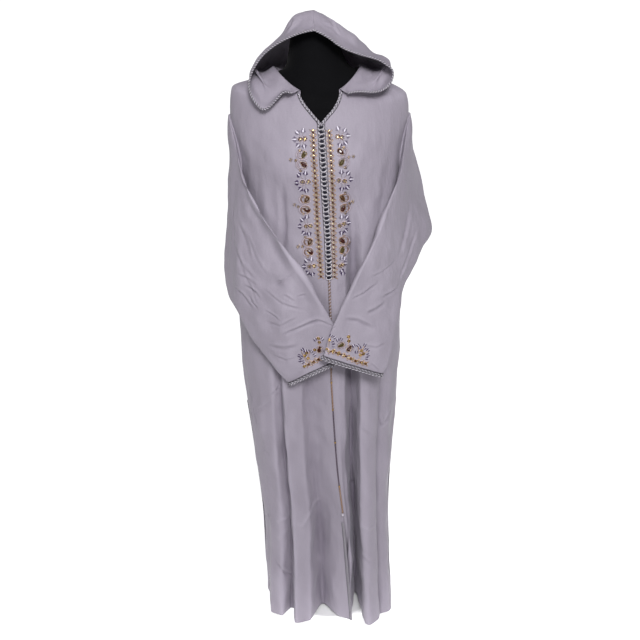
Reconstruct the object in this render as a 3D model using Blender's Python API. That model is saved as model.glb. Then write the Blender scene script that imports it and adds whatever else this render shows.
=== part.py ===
"""Hooded djellaba robe, hung on a limbless dress form with a neck, a pole and a round foot.

Metres, +Z up. The wearer faces -Y, so the wearer's left is +X. The origin is on the floor, under the
form's middle. Cloth is a thin wall: each panel is a grid of points on its outer face, closed by the same
points moved in by the cloth's thickness. Trims lie on a panel and are made from its points, moved out."""

import bmesh
import bpy
import numpy as np

# ---------------------------------------------------------------- driving sizes
CLOTH = 0.0016          # thickness of the cloth wall
SEAM_GAP = 0.0003       # clear distance between two pieces at a seam
TRIM_LIFT = 0.0004      # clear distance between a panel and a trim that lies on it
REST_GAP = 0.0004       # clear distance between the form and the cloth that rests on it
HEM_Z = 0.025           # height of the hem above the floor
FOLD_TOP_Z = 1.23       # skirt folds fade out below the bust
FRONT_SLIT_TOP = 0.352  # the front is open below this height
SIDE_SLIT_TOP = 0.300   # the side seams are open below this height
NECK_V_HALF = 0.045     # half width of the V where the hood joins the neckline
ARMHOLE_DEG = 20.0      # half angle of the armhole at its widest
BUTTONS = 35
BUTTON_TOP_Z, BUTTON_END_Z = 1.347, 1.004

# Body sections from the hem to the neckline. Heights at the side, centre front and centre back.
# lean lowers the wearer's left side and raises the right one, as the form's shoulders stand.
BODY_COLUMNS = ("side_z", "front_z", "back_z", "half_width", "front_depth", "back_depth",
                "squareness", "middle_x", "seam_x", "lean")
BODY_SECTIONS = {
    "hem":            (HEM_Z, HEM_Z, HEM_Z, 0.168, 0.135, 0.125, 2.15, -0.008, 0.000, 0.000),
    "shin":           (0.300, 0.300, 0.300, 0.170, 0.141, 0.128, 2.15, -0.014, 0.010, 0.000),
    "knee":           (0.520, 0.520, 0.520, 0.185, 0.147, 0.132, 2.15, -0.015, 0.004, 0.000),
    "thigh":          (0.720, 0.720, 0.720, 0.203, 0.151, 0.136, 2.15, -0.015, 0.006, 0.000),
    "hip":            (0.900, 0.900, 0.900, 0.208, 0.150, 0.136, 2.15, -0.012, 0.013, 0.000),
    "waist":          (1.060, 1.060, 1.060, 0.205, 0.143, 0.128, 2.15, -0.006, 0.013, 0.000),
    "underarm":       (1.170, 1.165, 1.170, 0.199, 0.143, 0.121, 2.10, -0.002, 0.010, 0.000),
    "bust":           (1.265, 1.245, 1.275, 0.200, 0.149, 0.117, 2.05, 0.000, 0.007, 0.000),
    "neck_point":     (1.375, 1.358, 1.375, 0.2155, 0.119, 0.111, 2.00, 0.001, 0.002, 0.018),
    "shoulder_tip":   (1.427, 1.382, 1.408, 0.2090, 0.110, 0.102, 2.00, 0.002, 0.001, 0.060),
    "mid_shoulder":   (1.455, 1.396, 1.434, 0.152, 0.107, 0.090, 2.00, 0.000, 0.003, 0.030),
    "neckline":       (1.475, 1.407, 1.455, 0.104, 0.104, 0.070, 2.00, 0.000, 0.003, 0.000),
}
UNDERARM, NECK_POINT, NECKLINE = (
    list(BODY_SECTIONS).index(name)
    for name in ("underarm", "neck_point", "neckline"))

# Folds of the skirt, all round. Each row is one ridge or valley: its angle from the centre front on the
# bust, the place of that point at the hem, and the share of its depth that it keeps near the top.
FOLD_COLUMNS = ("around", "hem_x", "hem_y", "reach")
SKIRT_FOLDS = {
    "right_side":         (-90, -0.175, -0.068, 1.0),
    "right_side_front":   (-76, -0.177, -0.086, 1.0),
    "right_side_bow":     (-62, -0.175, -0.104, 1.0),
    "right_side_turn":    (-49, -0.172, -0.118, 1.0),
    "right_corner":       (-37, -0.167, -0.134, 1.0),
    "right_outer_ridge":  (-32, -0.142, -0.149, 1.0),
    "right_outer_cleft":  (-27.5, -0.112, -0.116, 0.85),
    "right_broad_edge":   (-24, -0.104, -0.178, 1.0),
    "right_broad_ridge":  (-13, -0.062, -0.172, 1.0),
    "right_soft_valley":  (-7, -0.027, -0.096, 0.38),
    "right_centre_rise":  (-3, 0.015, -0.150, 0.6),
    "centre_front":       (0, 0.051, -0.169, 1.0),
    "left_strip_edge":    (11, 0.056, -0.154, 1.0),
    "left_deep_valley":   (15.5, 0.068, -0.054, 1.3),
    "left_ridge_edge":    (24, 0.090, -0.188, 1.0),
    "left_ridge":         (30, 0.104, -0.194, 1.0),
    "left_far_edge":      (37, 0.130, -0.170, 1.0),
    "left_side_valley":   (42, 0.134, -0.150, 0.9),
    "left_corner":        (52, 0.160, -0.140, 1.0),
    "left_side_turn":     (64, 0.166, -0.118, 1.0),
    "left_side_front":    (77, 0.169, -0.096, 1.0),
    "left_side":          (90, 0.169, -0.074, 1.0),
    "back_left_ridge":   (104, 0.174, -0.024, 1.0),
    "back_left_valley":  (118, 0.140, 0.036, 0.9),
    "back_left_fold":    (132, 0.150, 0.110, 1.0),
    "back_left_cleft":   (148, 0.080, 0.082, 0.8),
    "back_mid_left":     (162, 0.056, 0.152, 1.0),
    "back_centre":       (180, 0.004, 0.092, 0.8),
    "back_mid_right":    (199, -0.060, 0.154, 1.0),
    "back_right_cleft":  (213, -0.090, 0.084, 0.9),
    "back_right_fold":   (228, -0.150, 0.112, 1.0),
    "back_right_valley": (243, -0.146, 0.030, 0.9),
    "back_right_ridge":  (256, -0.186, -0.020, 1.0),
}

# Below a slit's top an edge leaves the seam: its angle, how far round it is felt, and its shift at the hem.
SLIT_COLUMNS = ("edge", "felt_over", "top_z", "shift_x", "shift_y")
SLITS = {
    "front_right": {"front": (0, 14, FRONT_SLIT_TOP, 0.004, -0.004),
                    "side": (-90, 22, SIDE_SLIT_TOP, 0.003, -0.010)},
    "front_left": {"front": (0, 14, FRONT_SLIT_TOP, -0.045, 0.100),
                   "side": (90, 22, SIDE_SLIT_TOP, -0.003, -0.010)},
    "back": {"left": (90, 22, SIDE_SLIT_TOP, 0.005, 0.010),
             "right": (270, 22, SIDE_SLIT_TOP, -0.005, 0.010)},
}

# Sleeves, from the armhole to the cuff: the two fold edges of the flattened tube, the way its outer
# layer faces (0 to the front, 90 to the side), its tilt up, its half thickness, and the depth it keeps
# where it lies on the body.
SLEEVE_COLUMNS = ("along", "inner_x", "inner_y", "inner_z", "outer_x", "outer_y", "outer_z",
                  "facing", "tilt", "half_thick", "lying_depth")
SLEEVES = {
    "right": {
        "armhole":    (0.00, -0.205, -0.062, 1.272, -0.205, 0.062, 1.272, 90, 84, 0.098, 0.001),
        "cap":        (0.06, -0.194, -0.068, 1.262, -0.212, 0.070, 1.258, 90, 82, 0.090, 0.003),
        "upper_arm":  (0.17, -0.176, -0.104, 1.216, -0.222, 0.078, 1.204, 86, 76, 0.064, 0.016),
        "arm":        (0.29, -0.143, -0.142, 1.162, -0.234, 0.072, 1.118, 70, 60, 0.034, 0.026),
        "above_elbow": (0.41, -0.096, -0.172, 1.096, -0.240, 0.046, 1.042, 58, 34, 0.020, 0.028),
        "elbow":      (0.55, -0.050, -0.186, 1.026, -0.232, -0.010, 0.971, 44, 8, 0.017, 0.030),
        "below_elbow": (0.68, -0.018, -0.190, 0.972, -0.195, -0.084, 0.912, 30, 0, 0.016, 0.028),
        "forearm":    (0.81, 0.016, -0.192, 0.914, -0.168, -0.134, 0.838, 18, 0, 0.013, 0.024),
        "wrist":      (0.92, 0.037, -0.190, 0.852, -0.118, -0.166, 0.781, 8, 2, 0.010, 0.018),
        "cuff":       (1.00, 0.048, -0.190, 0.808, -0.086, -0.182, 0.743, 3, 4, 0.0085, 0.016),
    },
    "left": {
        "armhole":    (0.00, 0.205, -0.062, 1.272, 0.205, 0.062, 1.272, 90, 84, 0.098, 0.001),
        "cap":        (0.06, 0.194, -0.070, 1.262, 0.214, 0.066, 1.260, 90, 82, 0.090, 0.002),
        "upper_arm":  (0.17, 0.178, -0.104, 1.222, 0.236, 0.064, 1.218, 84, 74, 0.064, 0.015),
        "arm":        (0.29, 0.146, -0.144, 1.160, 0.262, 0.050, 1.150, 66, 56, 0.034, 0.022),
        "above_elbow": (0.41, 0.118, -0.172, 1.100, 0.279, 0.014, 1.087, 52, 30, 0.020, 0.024),
        "elbow":      (0.54, 0.088, -0.190, 1.042, 0.247, -0.046, 1.050, 40, 8, 0.017, 0.026),
        "below_elbow": (0.67, 0.058, -0.198, 0.982, 0.202, -0.104, 0.974, 30, 0, 0.015, 0.026),
        "forearm":    (0.81, 0.026, -0.208, 0.920, 0.178, -0.152, 0.884, 20, 0, 0.012, 0.020),
        "wrist":      (0.92, 0.003, -0.214, 0.860, 0.154, -0.188, 0.810, 10, 2, 0.010, 0.018),
        "cuff":       (1.00, -0.010, -0.216, 0.820, 0.131, -0.202, 0.765, 5, 4, 0.0085, 0.016),
    },
}

# The hood's face edge from the neckline to the crown on each side, how much the cloth behind the edge
# rises above it, and the centre back seam from the nape to the peak.
HOOD_COLUMNS = ("right_x", "right_y", "right_z", "left_x", "left_y", "left_z",
                "right_rise", "left_rise", "back_y", "back_z")
HOOD_EDGE = {
    "roll":       (-0.056, -0.105, 1.424, 0.064, -0.104, 1.421, 0.000, 0.000, 0.075, 1.464),
    "floor":      (-0.080, -0.109, 1.426, 0.092, -0.107, 1.424, 0.000, 0.000, 0.084, 1.464),
    "sag":        (-0.103, -0.110, 1.404, 0.118, -0.104, 1.421, 0.000, 0.000, 0.094, 1.466),
    "foot":       (-0.124, -0.108, 1.391, 0.145, -0.099, 1.426, 0.004, 0.006, 0.106, 1.472),
    "heel":       (-0.148, -0.100, 1.413, 0.162, -0.092, 1.440, 0.024, 0.018, 0.118, 1.484),
    "tip":        (-0.157, -0.092, 1.448, 0.170, -0.088, 1.463, 0.028, 0.026, 0.131, 1.504),
    "wall":       (-0.134, -0.088, 1.495, 0.139, -0.086, 1.489, 0.013, 0.016, 0.140, 1.532),
    "brow":       (-0.100, -0.087, 1.524, 0.099, -0.086, 1.502, 0.014, 0.030, 0.136, 1.562),
    "temple":     (-0.060, -0.087, 1.544, 0.056, -0.086, 1.519, 0.040, 0.045, 0.108, 1.588),
    "crown_side": (-0.032, -0.087, 1.553, 0.020, -0.086, 1.544, 0.045, 0.048, 0.080, 1.601),
    "crown":      (-0.006, -0.087, 1.557, -0.006, -0.087, 1.557, 0.044, 0.044, 0.064, 1.604),
}
HOOD_STAND = 0.009      # the hood stands up this far from the neckline before it turns over
HOOD_FOLLOWS_SHOULDER = {"roll": (0.16, 0.008), "floor": (0.34, 0.006), "sag": (0.56, 0.007),
                         "foot": (0.76, 0.010), "heel": (0.88, 0.028)}
CUFF_BRAID_FROM = 0.979  # the cuff's braid runs from here along the sleeve to the cuff's end
SLEEVE_OFF, HOOD_OFF = 0.006, 0.004   # the least distance from the body of a sleeve and of the hood

# Dress form below the shoulders and above the neckline; the shoulders follow the robe's own sections.
FORM_COLUMNS = ("side_z", "front_z", "back_z", "half_width", "front_depth", "back_depth", "middle_x")
FORM_TORSO = {
    "foot":      (0.800, 0.800, 0.800, 0.150, 0.100, 0.108, -0.004),
    "hip":       (0.880, 0.880, 0.880, 0.168, 0.112, 0.118, -0.006),
    "high_hip":  (0.970, 0.970, 0.970, 0.156, 0.104, 0.108, -0.006),
    "waist":     (1.070, 1.070, 1.070, 0.122, 0.092, 0.086, -0.004),
    "ribs":      (1.160, 1.160, 1.160, 0.137, 0.108, 0.096, -0.002),
    "bust":      (1.245, 1.240, 1.250, 0.152, 0.138, 0.103, 0.000),
    "chest":     (1.320, 1.312, 1.320, 0.164, 0.124, 0.104, 0.000),
    "armhole":   (1.372, 1.355, 1.372, 0.180, 0.111, 0.102, 0.000),
    "cap":       (1.406, 1.374, 1.394, 0.188, 0.106, 0.097, 0.000),
}
FORM_SHOULDER_LEVELS = (9.4, 9.8, 10.2, 10.6)
FORM_NECK = {
    "neck_base": (1.480, 1.428, 1.459, 0.080, 0.079, 0.058, -0.001),
    "neck_low":  (1.512, 1.480, 1.494, 0.064, 0.068, 0.056, -0.005),
    "neck_mid":  (1.540, 1.525, 1.530, 0.056, 0.058, 0.053, -0.008),
    "neck_high": (1.563, 1.561, 1.561, 0.050, 0.052, 0.050, -0.010),
    "cap_edge":  (1.5780, 1.5780, 1.5780, 0.042, 0.045, 0.043, -0.010),
    "cap_round": (1.5870, 1.5870, 1.5870, 0.030, 0.032, 0.031, -0.010),
    "cap_top":   (1.5905, 1.5905, 1.5905, 0.014, 0.014, 0.014, -0.010),
}
POLE_RADIUS, POLE_TOP = 0.016, 0.7997
FOOT_RADIUS, FOOT_THICKNESS = 0.145, 0.014

# Trims that lie on a panel beside its centre edge or its side edge. Distances from the edge, heights,
# and how far the trim stands off the cloth.
TRIM_COLUMNS = ("panel", "edge", "from_edge", "to_edge", "bottom_z", "top_z", "thickness", "material")
TRIMS = {
    "front_braid_right":   ("front_right", "centre", 0.0004, 0.0075, 1.000, 1.475, 0.0012, "braid"),
    "front_braid_left":    ("front_left", "centre", 0.0004, 0.0100, 1.000, 1.475, 0.0012, "braid"),
    "lattice_trim_right":  ("front_right", "centre", 0.0110, 0.0195, 1.000, 1.350, 0.0010, "bead_trim"),
    "lattice_trim_left":   ("front_left", "centre", 0.0175, 0.0265, 1.000, 1.350, 0.0010, "bead_trim"),
    "slit_braid_right":    ("front_right", "centre", 0.0004, 0.0050, HEM_Z, FRONT_SLIT_TOP - 0.012, 0.0012, "braid"),
    "side_braid_right":    ("front_right", "side", 0.0004, 0.0060, HEM_Z, 0.640, 0.0012, "braid"),
    "side_braid_left":     ("front_left", "side", 0.0004, 0.0060, HEM_Z, 0.640, 0.0012, "braid"),
}
FRONT_CORD_HALF_WIDTH, FRONT_CORD_THICKNESS, FRONT_CORD_CLEAR = 0.0022, 0.0014, 0.0004
HOOD_CORD_RADIUS = 0.0022
BUTTON_WIDTH, BUTTON_HEIGHT, BUTTON_DEPTH, BUTTON_CLEAR = 0.0098, 0.0084, 0.0062, 0.0004
CORD_BEAD_RADIUS = 0.0042

# Colour, roughness and metallic value of each material
MATERIALS = {
    "robe_cloth": ((0.46, 0.42, 0.49), 0.55, 0.0),
    "braid":      ((0.52, 0.47, 0.54), 0.40, 0.1),
    "buttons":    ((0.30, 0.28, 0.36), 0.35, 0.2),
    "bead_trim":  ((0.55, 0.38, 0.20), 0.30, 0.6),
    "form_cover": ((0.010, 0.010, 0.013), 0.85, 0.0),
    "steel":      ((0.78, 0.78, 0.79), 0.35, 0.0),
}


# ---------------------------------------------------------------- curves and tables
def ease(value):
    """0 below 0, 1 above 1, and a smooth S between."""
    value = np.clip(value, 0.0, 1.0)
    return value * value * (3 - 2 * value)


def through(places, values, at):
    """Smooth curve through rows of values, which never swings past a row. at may be an array."""
    places, values = np.asarray(places, float), np.asarray(values, float)
    at = np.clip(np.asarray(at, float), places[0], places[-1])
    flat = values.ndim == 1
    values = values.reshape(len(places), -1)
    step = np.diff(places)[:, None]
    slope = np.diff(values, axis=0) / step
    before, after = slope[:-1], slope[1:]
    same_way = before * after > 0
    weight_1, weight_2 = 2 * step[1:] + step[:-1], step[1:] + 2 * step[:-1]
    safe_before, safe_after = np.where(same_way, before, 1.0), np.where(same_way, after, 1.0)
    mean = (weight_1 + weight_2) / (weight_1 / safe_before + weight_2 / safe_after)
    tangent = np.vstack([slope[:1], np.where(same_way, mean, 0.0), slope[-1:]])
    row = np.clip(np.searchsorted(places, at, side="right") - 1, 0, len(places) - 2)
    share = ((at - places[row]) / step[row, 0])[..., None]
    width = step[row]
    result = ((1 + 2 * share) * (1 - share) ** 2 * values[row]
              + share * (1 - share) ** 2 * width * tangent[row]
              + share ** 2 * (3 - 2 * share) * values[row + 1]
              + share ** 2 * (share - 1) * width * tangent[row + 1])
    return result[..., 0] if flat else result


def column(columns, rows, name):
    """One named column of a table, as an array."""
    return np.array([row[columns.index(name)] for row in rows.values()], float)


def unit(vectors):
    return vectors / np.maximum(np.linalg.norm(vectors, axis=-1, keepdims=True), 1e-12)


def steps(points, axis, closed):
    """Unit direction of a grid along an axis, halfway between the steps before and after each point, and
    the cosine of half the turn there."""
    ahead = unit(np.roll(points, -1, axis=axis) - points)
    behind = np.roll(ahead, 1, axis=axis)
    if not closed:
        first, last = (np.s_[0], np.s_[-1]) if axis == 0 else (np.s_[:, 0], np.s_[:, -1])
        behind[first], ahead[last] = ahead[first], behind[last]
    total = ahead + behind
    return unit(total), np.linalg.norm(total, axis=-1, keepdims=True) / 2


def grid_normals(points, closed=False):
    """Normals of a grid's points, lengthened at folds so that an offset wall keeps its thickness."""
    along, _ = steps(points, 0, False)
    about, half_turn = steps(points, 1, closed)
    return unit(np.cross(about, along)) / np.clip(half_turn, 0.7, 1.0)


def evenly_along(points, count):
    """Smooth curve through the points, cut into evenly spaced ones."""
    chord = np.r_[0.0, np.cumsum(np.linalg.norm(np.diff(points, axis=0), axis=1) ** 0.5)]
    tangent = np.gradient(points, chord, axis=0)
    fine = np.linspace(0, chord[-1], 40 * len(points))
    row = np.clip(np.searchsorted(chord, fine, side="right") - 1, 0, len(points) - 2)
    width = np.diff(chord)[row][:, None]
    share = ((fine - chord[row]) / width[:, 0])[:, None]
    curve = ((1 + 2 * share) * (1 - share) ** 2 * points[row]
             + share * (1 - share) ** 2 * width * tangent[row]
             + share ** 2 * (3 - 2 * share) * points[row + 1]
             + share ** 2 * (share - 1) * width * tangent[row + 1])
    run = np.r_[0.0, np.cumsum(np.linalg.norm(np.diff(curve, axis=0), axis=1))]
    wanted = np.linspace(0, run[-1], count)
    return np.stack([np.interp(wanted, run, curve[:, axis]) for axis in range(3)], axis=1)


# ---------------------------------------------------------------- the robe's body
def section_ring(value, around):
    """Ring of one section. value gives its width, depths and squareness by name; around is in degrees."""
    sine, cosine = np.sin(np.radians(around)), np.cos(np.radians(around))
    power = 2.0 / value["squareness"]
    depth = np.where(cosine > 0, value["front_depth"], value["back_depth"])
    x = value["middle_x"] + value["half_width"] * np.sign(sine) * np.abs(sine) ** power
    y = -depth * np.sign(cosine) * np.abs(cosine) ** power
    z = value["side_z"] + (np.where(cosine > 0, value["front_z"], value["back_z"])
                           - value["side_z"]) * cosine ** 2 - value["lean"] * x
    return np.stack([x, y, z], axis=-1)


def plain_ring(level, around):
    """The body's section at a level, without folds."""
    places = np.arange(len(BODY_SECTIONS))
    value = {name: through(places, column(BODY_COLUMNS, BODY_SECTIONS, name), level)
             for name in BODY_COLUMNS}
    points = section_ring(value, around)
    points[..., 0] += value["seam_x"] * np.clip(np.cos(np.radians(around)), 0, 1) ** 2
    return points


def fold_table():
    """Fold angles, their shifts from the plain hem and their reach, carried on past a full turn."""
    around = column(FOLD_COLUMNS, SKIRT_FOLDS, "around")
    hem = np.stack([column(FOLD_COLUMNS, SKIRT_FOLDS, "hem_x"),
                    column(FOLD_COLUMNS, SKIRT_FOLDS, "hem_y")], axis=1)
    shift = hem - plain_ring(0.0, around)[:, :2]
    reach = column(FOLD_COLUMNS, SKIRT_FOLDS, "reach")
    return (np.r_[around[-3:] - 360, around, around[:3] + 360],
            np.vstack([shift[-3:], shift, shift[:3]]),
            np.r_[reach[-3:], reach, reach[:3]])


FOLD_AROUND, FOLD_SHIFT, FOLD_REACH = fold_table()


def body_ring(level, around, panel=None):
    """Outer face of the body at a level: the plain section, its folds, and the panel's open slit edges."""
    around = np.asarray(around, float)
    points = plain_ring(level, around)
    z = points[..., 2]
    drop = np.clip((FOLD_TOP_Z - z.mean()) / (FOLD_TOP_Z - HEM_Z), 0.0, 1.0)
    if drop > 0:
        kept = drop ** (1.15 / FOLD_REACH)
        turned = np.where(around > 265, around - 360, around)
        points[..., :2] += through(FOLD_AROUND, FOLD_SHIFT * kept[:, None], turned)
    for edge, felt_over, top_z, shift_x, shift_y in SLITS.get(panel, {}).values():
        near = ease(1 - np.abs(around - edge) / felt_over)
        open_by = ease((top_z - z) / (top_z - HEM_Z))
        points[..., 0] += shift_x * near * open_by ** 2
        points[..., 1] += shift_y * near * open_by
    return points


def body_normal(level, around, panel=None):
    """Outward normals of the body's outer face."""
    tiny_level, tiny_turn = 0.01, 0.25
    along = (body_ring(min(level + tiny_level, NECKLINE), around, panel)
             - body_ring(max(level - tiny_level, 0.0), around, panel))
    round_about = (body_ring(level, np.asarray(around) + tiny_turn, panel)
                   - body_ring(level, np.asarray(around) - tiny_turn, panel))
    return unit(np.cross(round_about, along))


def armhole_half_angle(level):
    """How far the armhole's edge lies from the side seam, in degrees."""
    across = (np.asarray(level) - (UNDERARM + NECK_POINT) / 2) / ((NECK_POINT - UNDERARM) / 2)
    return ARMHOLE_DEG * np.sqrt(np.clip(1 - across ** 2, 0.0, 1.0))


def neck_half_angle(level):
    """How far the neck's V edge lies from the centre front, in degrees."""
    places = np.arange(len(BODY_SECTIONS))
    heights = column(BODY_COLUMNS, BODY_SECTIONS, "front_z")
    up = (through(places, heights, level) - heights[NECK_POINT]) / (heights[NECKLINE] - heights[NECK_POINT])
    half_width = through(places, column(BODY_COLUMNS, BODY_SECTIONS, "half_width"), level)
    return np.degrees(np.arcsin(NECK_V_HALF * np.clip(up, 0.0, 1.0) / half_width))


def armhole_levels(count):
    """Levels down the armhole, closest together at its top and bottom."""
    swing = np.cos(np.linspace(0, np.pi, count))
    return (UNDERARM + NECK_POINT) / 2 - swing * (NECK_POINT - UNDERARM) / 2


SKIRT_LEVELS = np.array([0.0, 0.3, 0.65, 1.0, 1.3, 1.7, 2.2, 2.8, 3.5, 4.3, 5.1, 5.6])
ARMHOLE_LEVELS = armhole_levels(12)
SHOULDER_LEVELS = np.array([8.5, 9.0, 9.4, 9.8, 10.2, 10.6, 11.0])
BODY_LEVELS = np.r_[SKIRT_LEVELS, ARMHOLE_LEVELS, SHOULDER_LEVELS]


def sample_body():
    """Points and normals all over the body, for keeping sleeves and hood clear of it."""
    around = np.arange(-180, 180, 2.0)
    levels = np.linspace(3, NECKLINE, 150)
    points = np.array([body_ring(level, around) for level in levels])
    normals = np.array([body_normal(level, around) for level in levels])
    return points.reshape(-1, 3), normals.reshape(-1, 3)


def keep_off(points, clear, samples):
    """Moves points out along the body's normals until each is at least clear from the body."""
    surface, normals = samples
    flat = points.reshape(-1, 3).copy()
    clear = np.broadcast_to(clear, points.shape[:-1]).reshape(-1)
    for index, point in enumerate(flat):
        nearest = np.argmin(((surface - point) ** 2).sum(axis=1))
        height = (point - surface[nearest]) @ normals[nearest]
        if height < clear[index]:
            flat[index] += normals[nearest] * (clear[index] - height)
    return flat.reshape(points.shape)


def pull_in(points, edges):
    """Moves the named edges of a grid in by half a seam gap."""
    moved = points.copy()
    ends = {"first_row": (np.s_[0], np.s_[1]), "last_row": (np.s_[-1], np.s_[-2]),
            "first_column": (np.s_[:, 0], np.s_[:, 1]), "last_column": (np.s_[:, -1], np.s_[:, -2])}
    for edge in edges:
        at, beside = ends[edge]
        moved[at] += unit(points[beside] - points[at]) * SEAM_GAP / 2
    return moved


def body_grid(panel, levels, start, stop, shares):
    """Points and normals of a panel: at each level its columns run from start(level) to stop(level)."""
    points, normals = [], []
    for level in levels:
        around = start(level) + (stop(level) - start(level)) * shares
        points.append(body_ring(level, around, panel))
        normals.append(body_normal(level, around[[0, -1]], panel))
    points, seam_normals = np.array(points), np.array(normals)
    normals = grid_normals(points)
    normals[:, [0, -1]] = seam_normals
    return points, normals


def fold_shares(first, last):
    """Column places from 0 to 1 between two angles: every fold row, and the middle of every wide gap."""
    around = np.unique(np.r_[first, FOLD_AROUND[(FOLD_AROUND > first) & (FOLD_AROUND < last)], last])
    wide = np.diff(around) > 6
    around = np.sort(np.r_[around, ((around[:-1] + around[1:]) / 2)[wide]])
    return (around - first) / (last - first)


# ---------------------------------------------------------------- meshes
def new_object(name, mesh, material):
    part = bpy.data.objects.new(name, mesh)
    bpy.data.collections[COLLECTION].objects.link(part)
    mesh.materials.append(bpy.data.materials[material])
    mesh.shade_smooth()
    mesh.set_sharp_from_angle(angle=np.radians(40))
    return part


def mesh_from(name, points, faces):
    mesh = bpy.data.meshes.new(name)
    mesh.from_pydata([tuple(point) for point in points], [], faces)
    sheet = bmesh.new()
    sheet.from_mesh(mesh)
    bmesh.ops.recalc_face_normals(sheet, faces=sheet.faces)
    if sheet.calc_volume(signed=True) < 0:
        bmesh.ops.reverse_faces(sheet, faces=sheet.faces)
    sheet.to_mesh(mesh)
    sheet.free()
    return mesh


def wall(name, outer, inner, material, tube=False):
    """Closes two matching grids of points into one thin wall. A tube's columns go all the way round.
    Each four-sided face is cut along its shorter diagonal, the same way on both faces of the wall."""
    rows, columns = outer.shape[:2]
    count = rows * columns
    flat = outer.reshape(-1, 3)

    def corner(row, col):
        return row * columns + col % columns

    spans = columns if tube else columns - 1
    faces = []
    for row in range(rows - 1):
        for col in range(spans):
            near, beside = corner(row, col), corner(row, col + 1)
            across, above = corner(row + 1, col + 1), corner(row + 1, col)
            halves = ((near, beside, across), (near, across, above))
            if np.linalg.norm(flat[near] - flat[across]) > 1.02 * np.linalg.norm(flat[beside] - flat[above]):
                halves = ((near, beside, above), (beside, across, above))
            for corners in halves:
                faces += [corners, [count + index for index in reversed(corners)]]
    rims = [[corner(0, col) for col in range(spans + 1)],
            [corner(rows - 1, col) for col in range(spans + 1)]]
    if not tube:
        rims += [[corner(row, 0) for row in range(rows)],
                 [corner(row, columns - 1) for row in range(rows)]]
    for rim in rims:
        faces += [[a, b, count + b, count + a] for a, b in zip(rim, rim[1:])]
    points = np.concatenate([outer.reshape(-1, 3), inner.reshape(-1, 3)])
    return new_object(name, mesh_from(name, points, faces), material)


def stack(name, rings, material):
    """A solid through a stack of rings, closed flat at both ends."""
    count = len(rings[0])
    faces = [[ring * count + i, ring * count + (i + 1) % count,
              (ring + 1) * count + (i + 1) % count, (ring + 1) * count + i]
             for ring in range(len(rings) - 1) for i in range(count)]
    faces += [list(range(count))[::-1], [(len(rings) - 1) * count + i for i in range(count)]]
    return new_object(name, mesh_from(name, np.concatenate(rings), faces), material)


def lying_strip(name, points, normals, thickness, material, tube=False):
    """A trim on a panel: the panel's own points, moved out."""
    return wall(name, points + normals * (TRIM_LIFT + thickness), points + normals * TRIM_LIFT, material, tube)


# ---------------------------------------------------------------- front, back and sleeves
def make_panels():
    def side(level):
        return 90 - armhole_half_angle(level)

    panels = {
        "front_right": (lambda level: -side(level), lambda level: -neck_half_angle(level),
                        fold_shares(-90, 0)),
        "front_left": (neck_half_angle, side, fold_shares(0, 90)),
        "back": (lambda level: 180 - side(level), lambda level: 180 + side(level), fold_shares(90, 270)),
    }
    grids = {}
    for name, (start, stop, shares) in panels.items():
        points, normals = body_grid(name, BODY_LEVELS, start, stop, shares)
        points = pull_in(points, ("first_column", "last_column", "last_row"))
        wall(name, points, points - normals * CLOTH, "robe_cloth")
        grids[name] = points, normals
    return grids


def armhole_ring(side, offset):
    """Edge of an armhole, moved off the body by offset and shrunk by a seam gap, front edge first."""
    sign = 1 if side == "left" else -1
    levels = ARMHOLE_LEVELS
    half = armhole_half_angle(levels)
    places = [(level, 90 - angle) for level, angle in zip(levels, half)]
    places += [(level, 90 + angle) for level, angle in zip(levels[-2:0:-1], half[-2:0:-1])]
    ring = []
    for level, around in places:
        turned = np.array([around]) if sign > 0 else np.array([-around])
        ring.append((body_ring(level, turned) + body_normal(level, turned) * offset)[0])
    ring = np.array(ring)
    centre = ring.mean(axis=0)
    return ring + unit(centre - ring) * 1.5 * SEAM_GAP


def sleeve_section(side, along, turn):
    """Ring of a flattened sleeve and how far each point keeps from the body. turn is 0 at the bottom of
    the armhole and 90 at its front edge."""
    rows = SLEEVES[side]
    places = column(SLEEVE_COLUMNS, rows, "along")
    value = {name: float(through(places, column(SLEEVE_COLUMNS, rows, name), along))
             for name in SLEEVE_COLUMNS}
    inner = np.array([value["inner_x"], value["inner_y"], value["inner_z"]])
    outer = np.array([value["outer_x"], value["outer_y"], value["outer_z"]])
    sign = 1 if side == "left" else -1
    facing, tilt = np.radians(value["facing"]), np.radians(value["tilt"])
    out = np.array([sign * np.sin(facing) * np.cos(tilt), -np.cos(facing) * np.cos(tilt), np.sin(tilt)])
    chord = unit(inner - outer)
    out = unit(out - chord * (out @ chord))
    across, over = np.sin(np.radians(turn)), -np.cos(np.radians(turn))
    power = 2.0 / 2.4
    across = np.sign(across) * np.abs(across) ** power
    over = np.sign(over) * np.abs(over) ** power
    ring = ((inner + outer) / 2 + across[:, None] * (inner - outer) / 2
            + over[:, None] * value["half_thick"] * out)
    off = SLEEVE_OFF * (ease(along / 0.12) + 1.2 * ease((along - 0.4) / 0.3))
    return ring, off + value["lying_depth"] * (1 + over) / 2


def sleeve_grid(side, samples, count_along=18):
    """Points of a sleeve's outer face from the armhole to the cuff, and their normals."""
    first, second = armhole_ring(side, -CLOTH), armhole_ring(side, 0.0035)
    turn = np.linspace(0, 360, len(first), endpoint=False)
    rings = [first, second]
    for along in np.r_[np.linspace(0, CUFF_BRAID_FROM, count_along)[1:], 1.0]:
        free = ease(along / 0.15)
        ring, clear = sleeve_section(side, along, turn)
        rings.append(keep_off(second * (1 - free) + ring * free, clear, samples))
    points = np.array(rings)
    normals = grid_normals(points, closed=True)
    outward = points - points.mean(axis=1, keepdims=True)
    if (normals * outward).sum() < 0:
        normals = -normals
    return points, normals


def make_sleeves(samples):
    for side in SLEEVES:
        points, normals = sleeve_grid(side, samples)
        wall(f"sleeve_{side}", points, points - normals * CLOTH, "robe_cloth", tube=True)
        lying_strip(f"cuff_braid_{side}", points[-2:], normals[-2:], 0.0012, "braid", tube=True)


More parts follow.
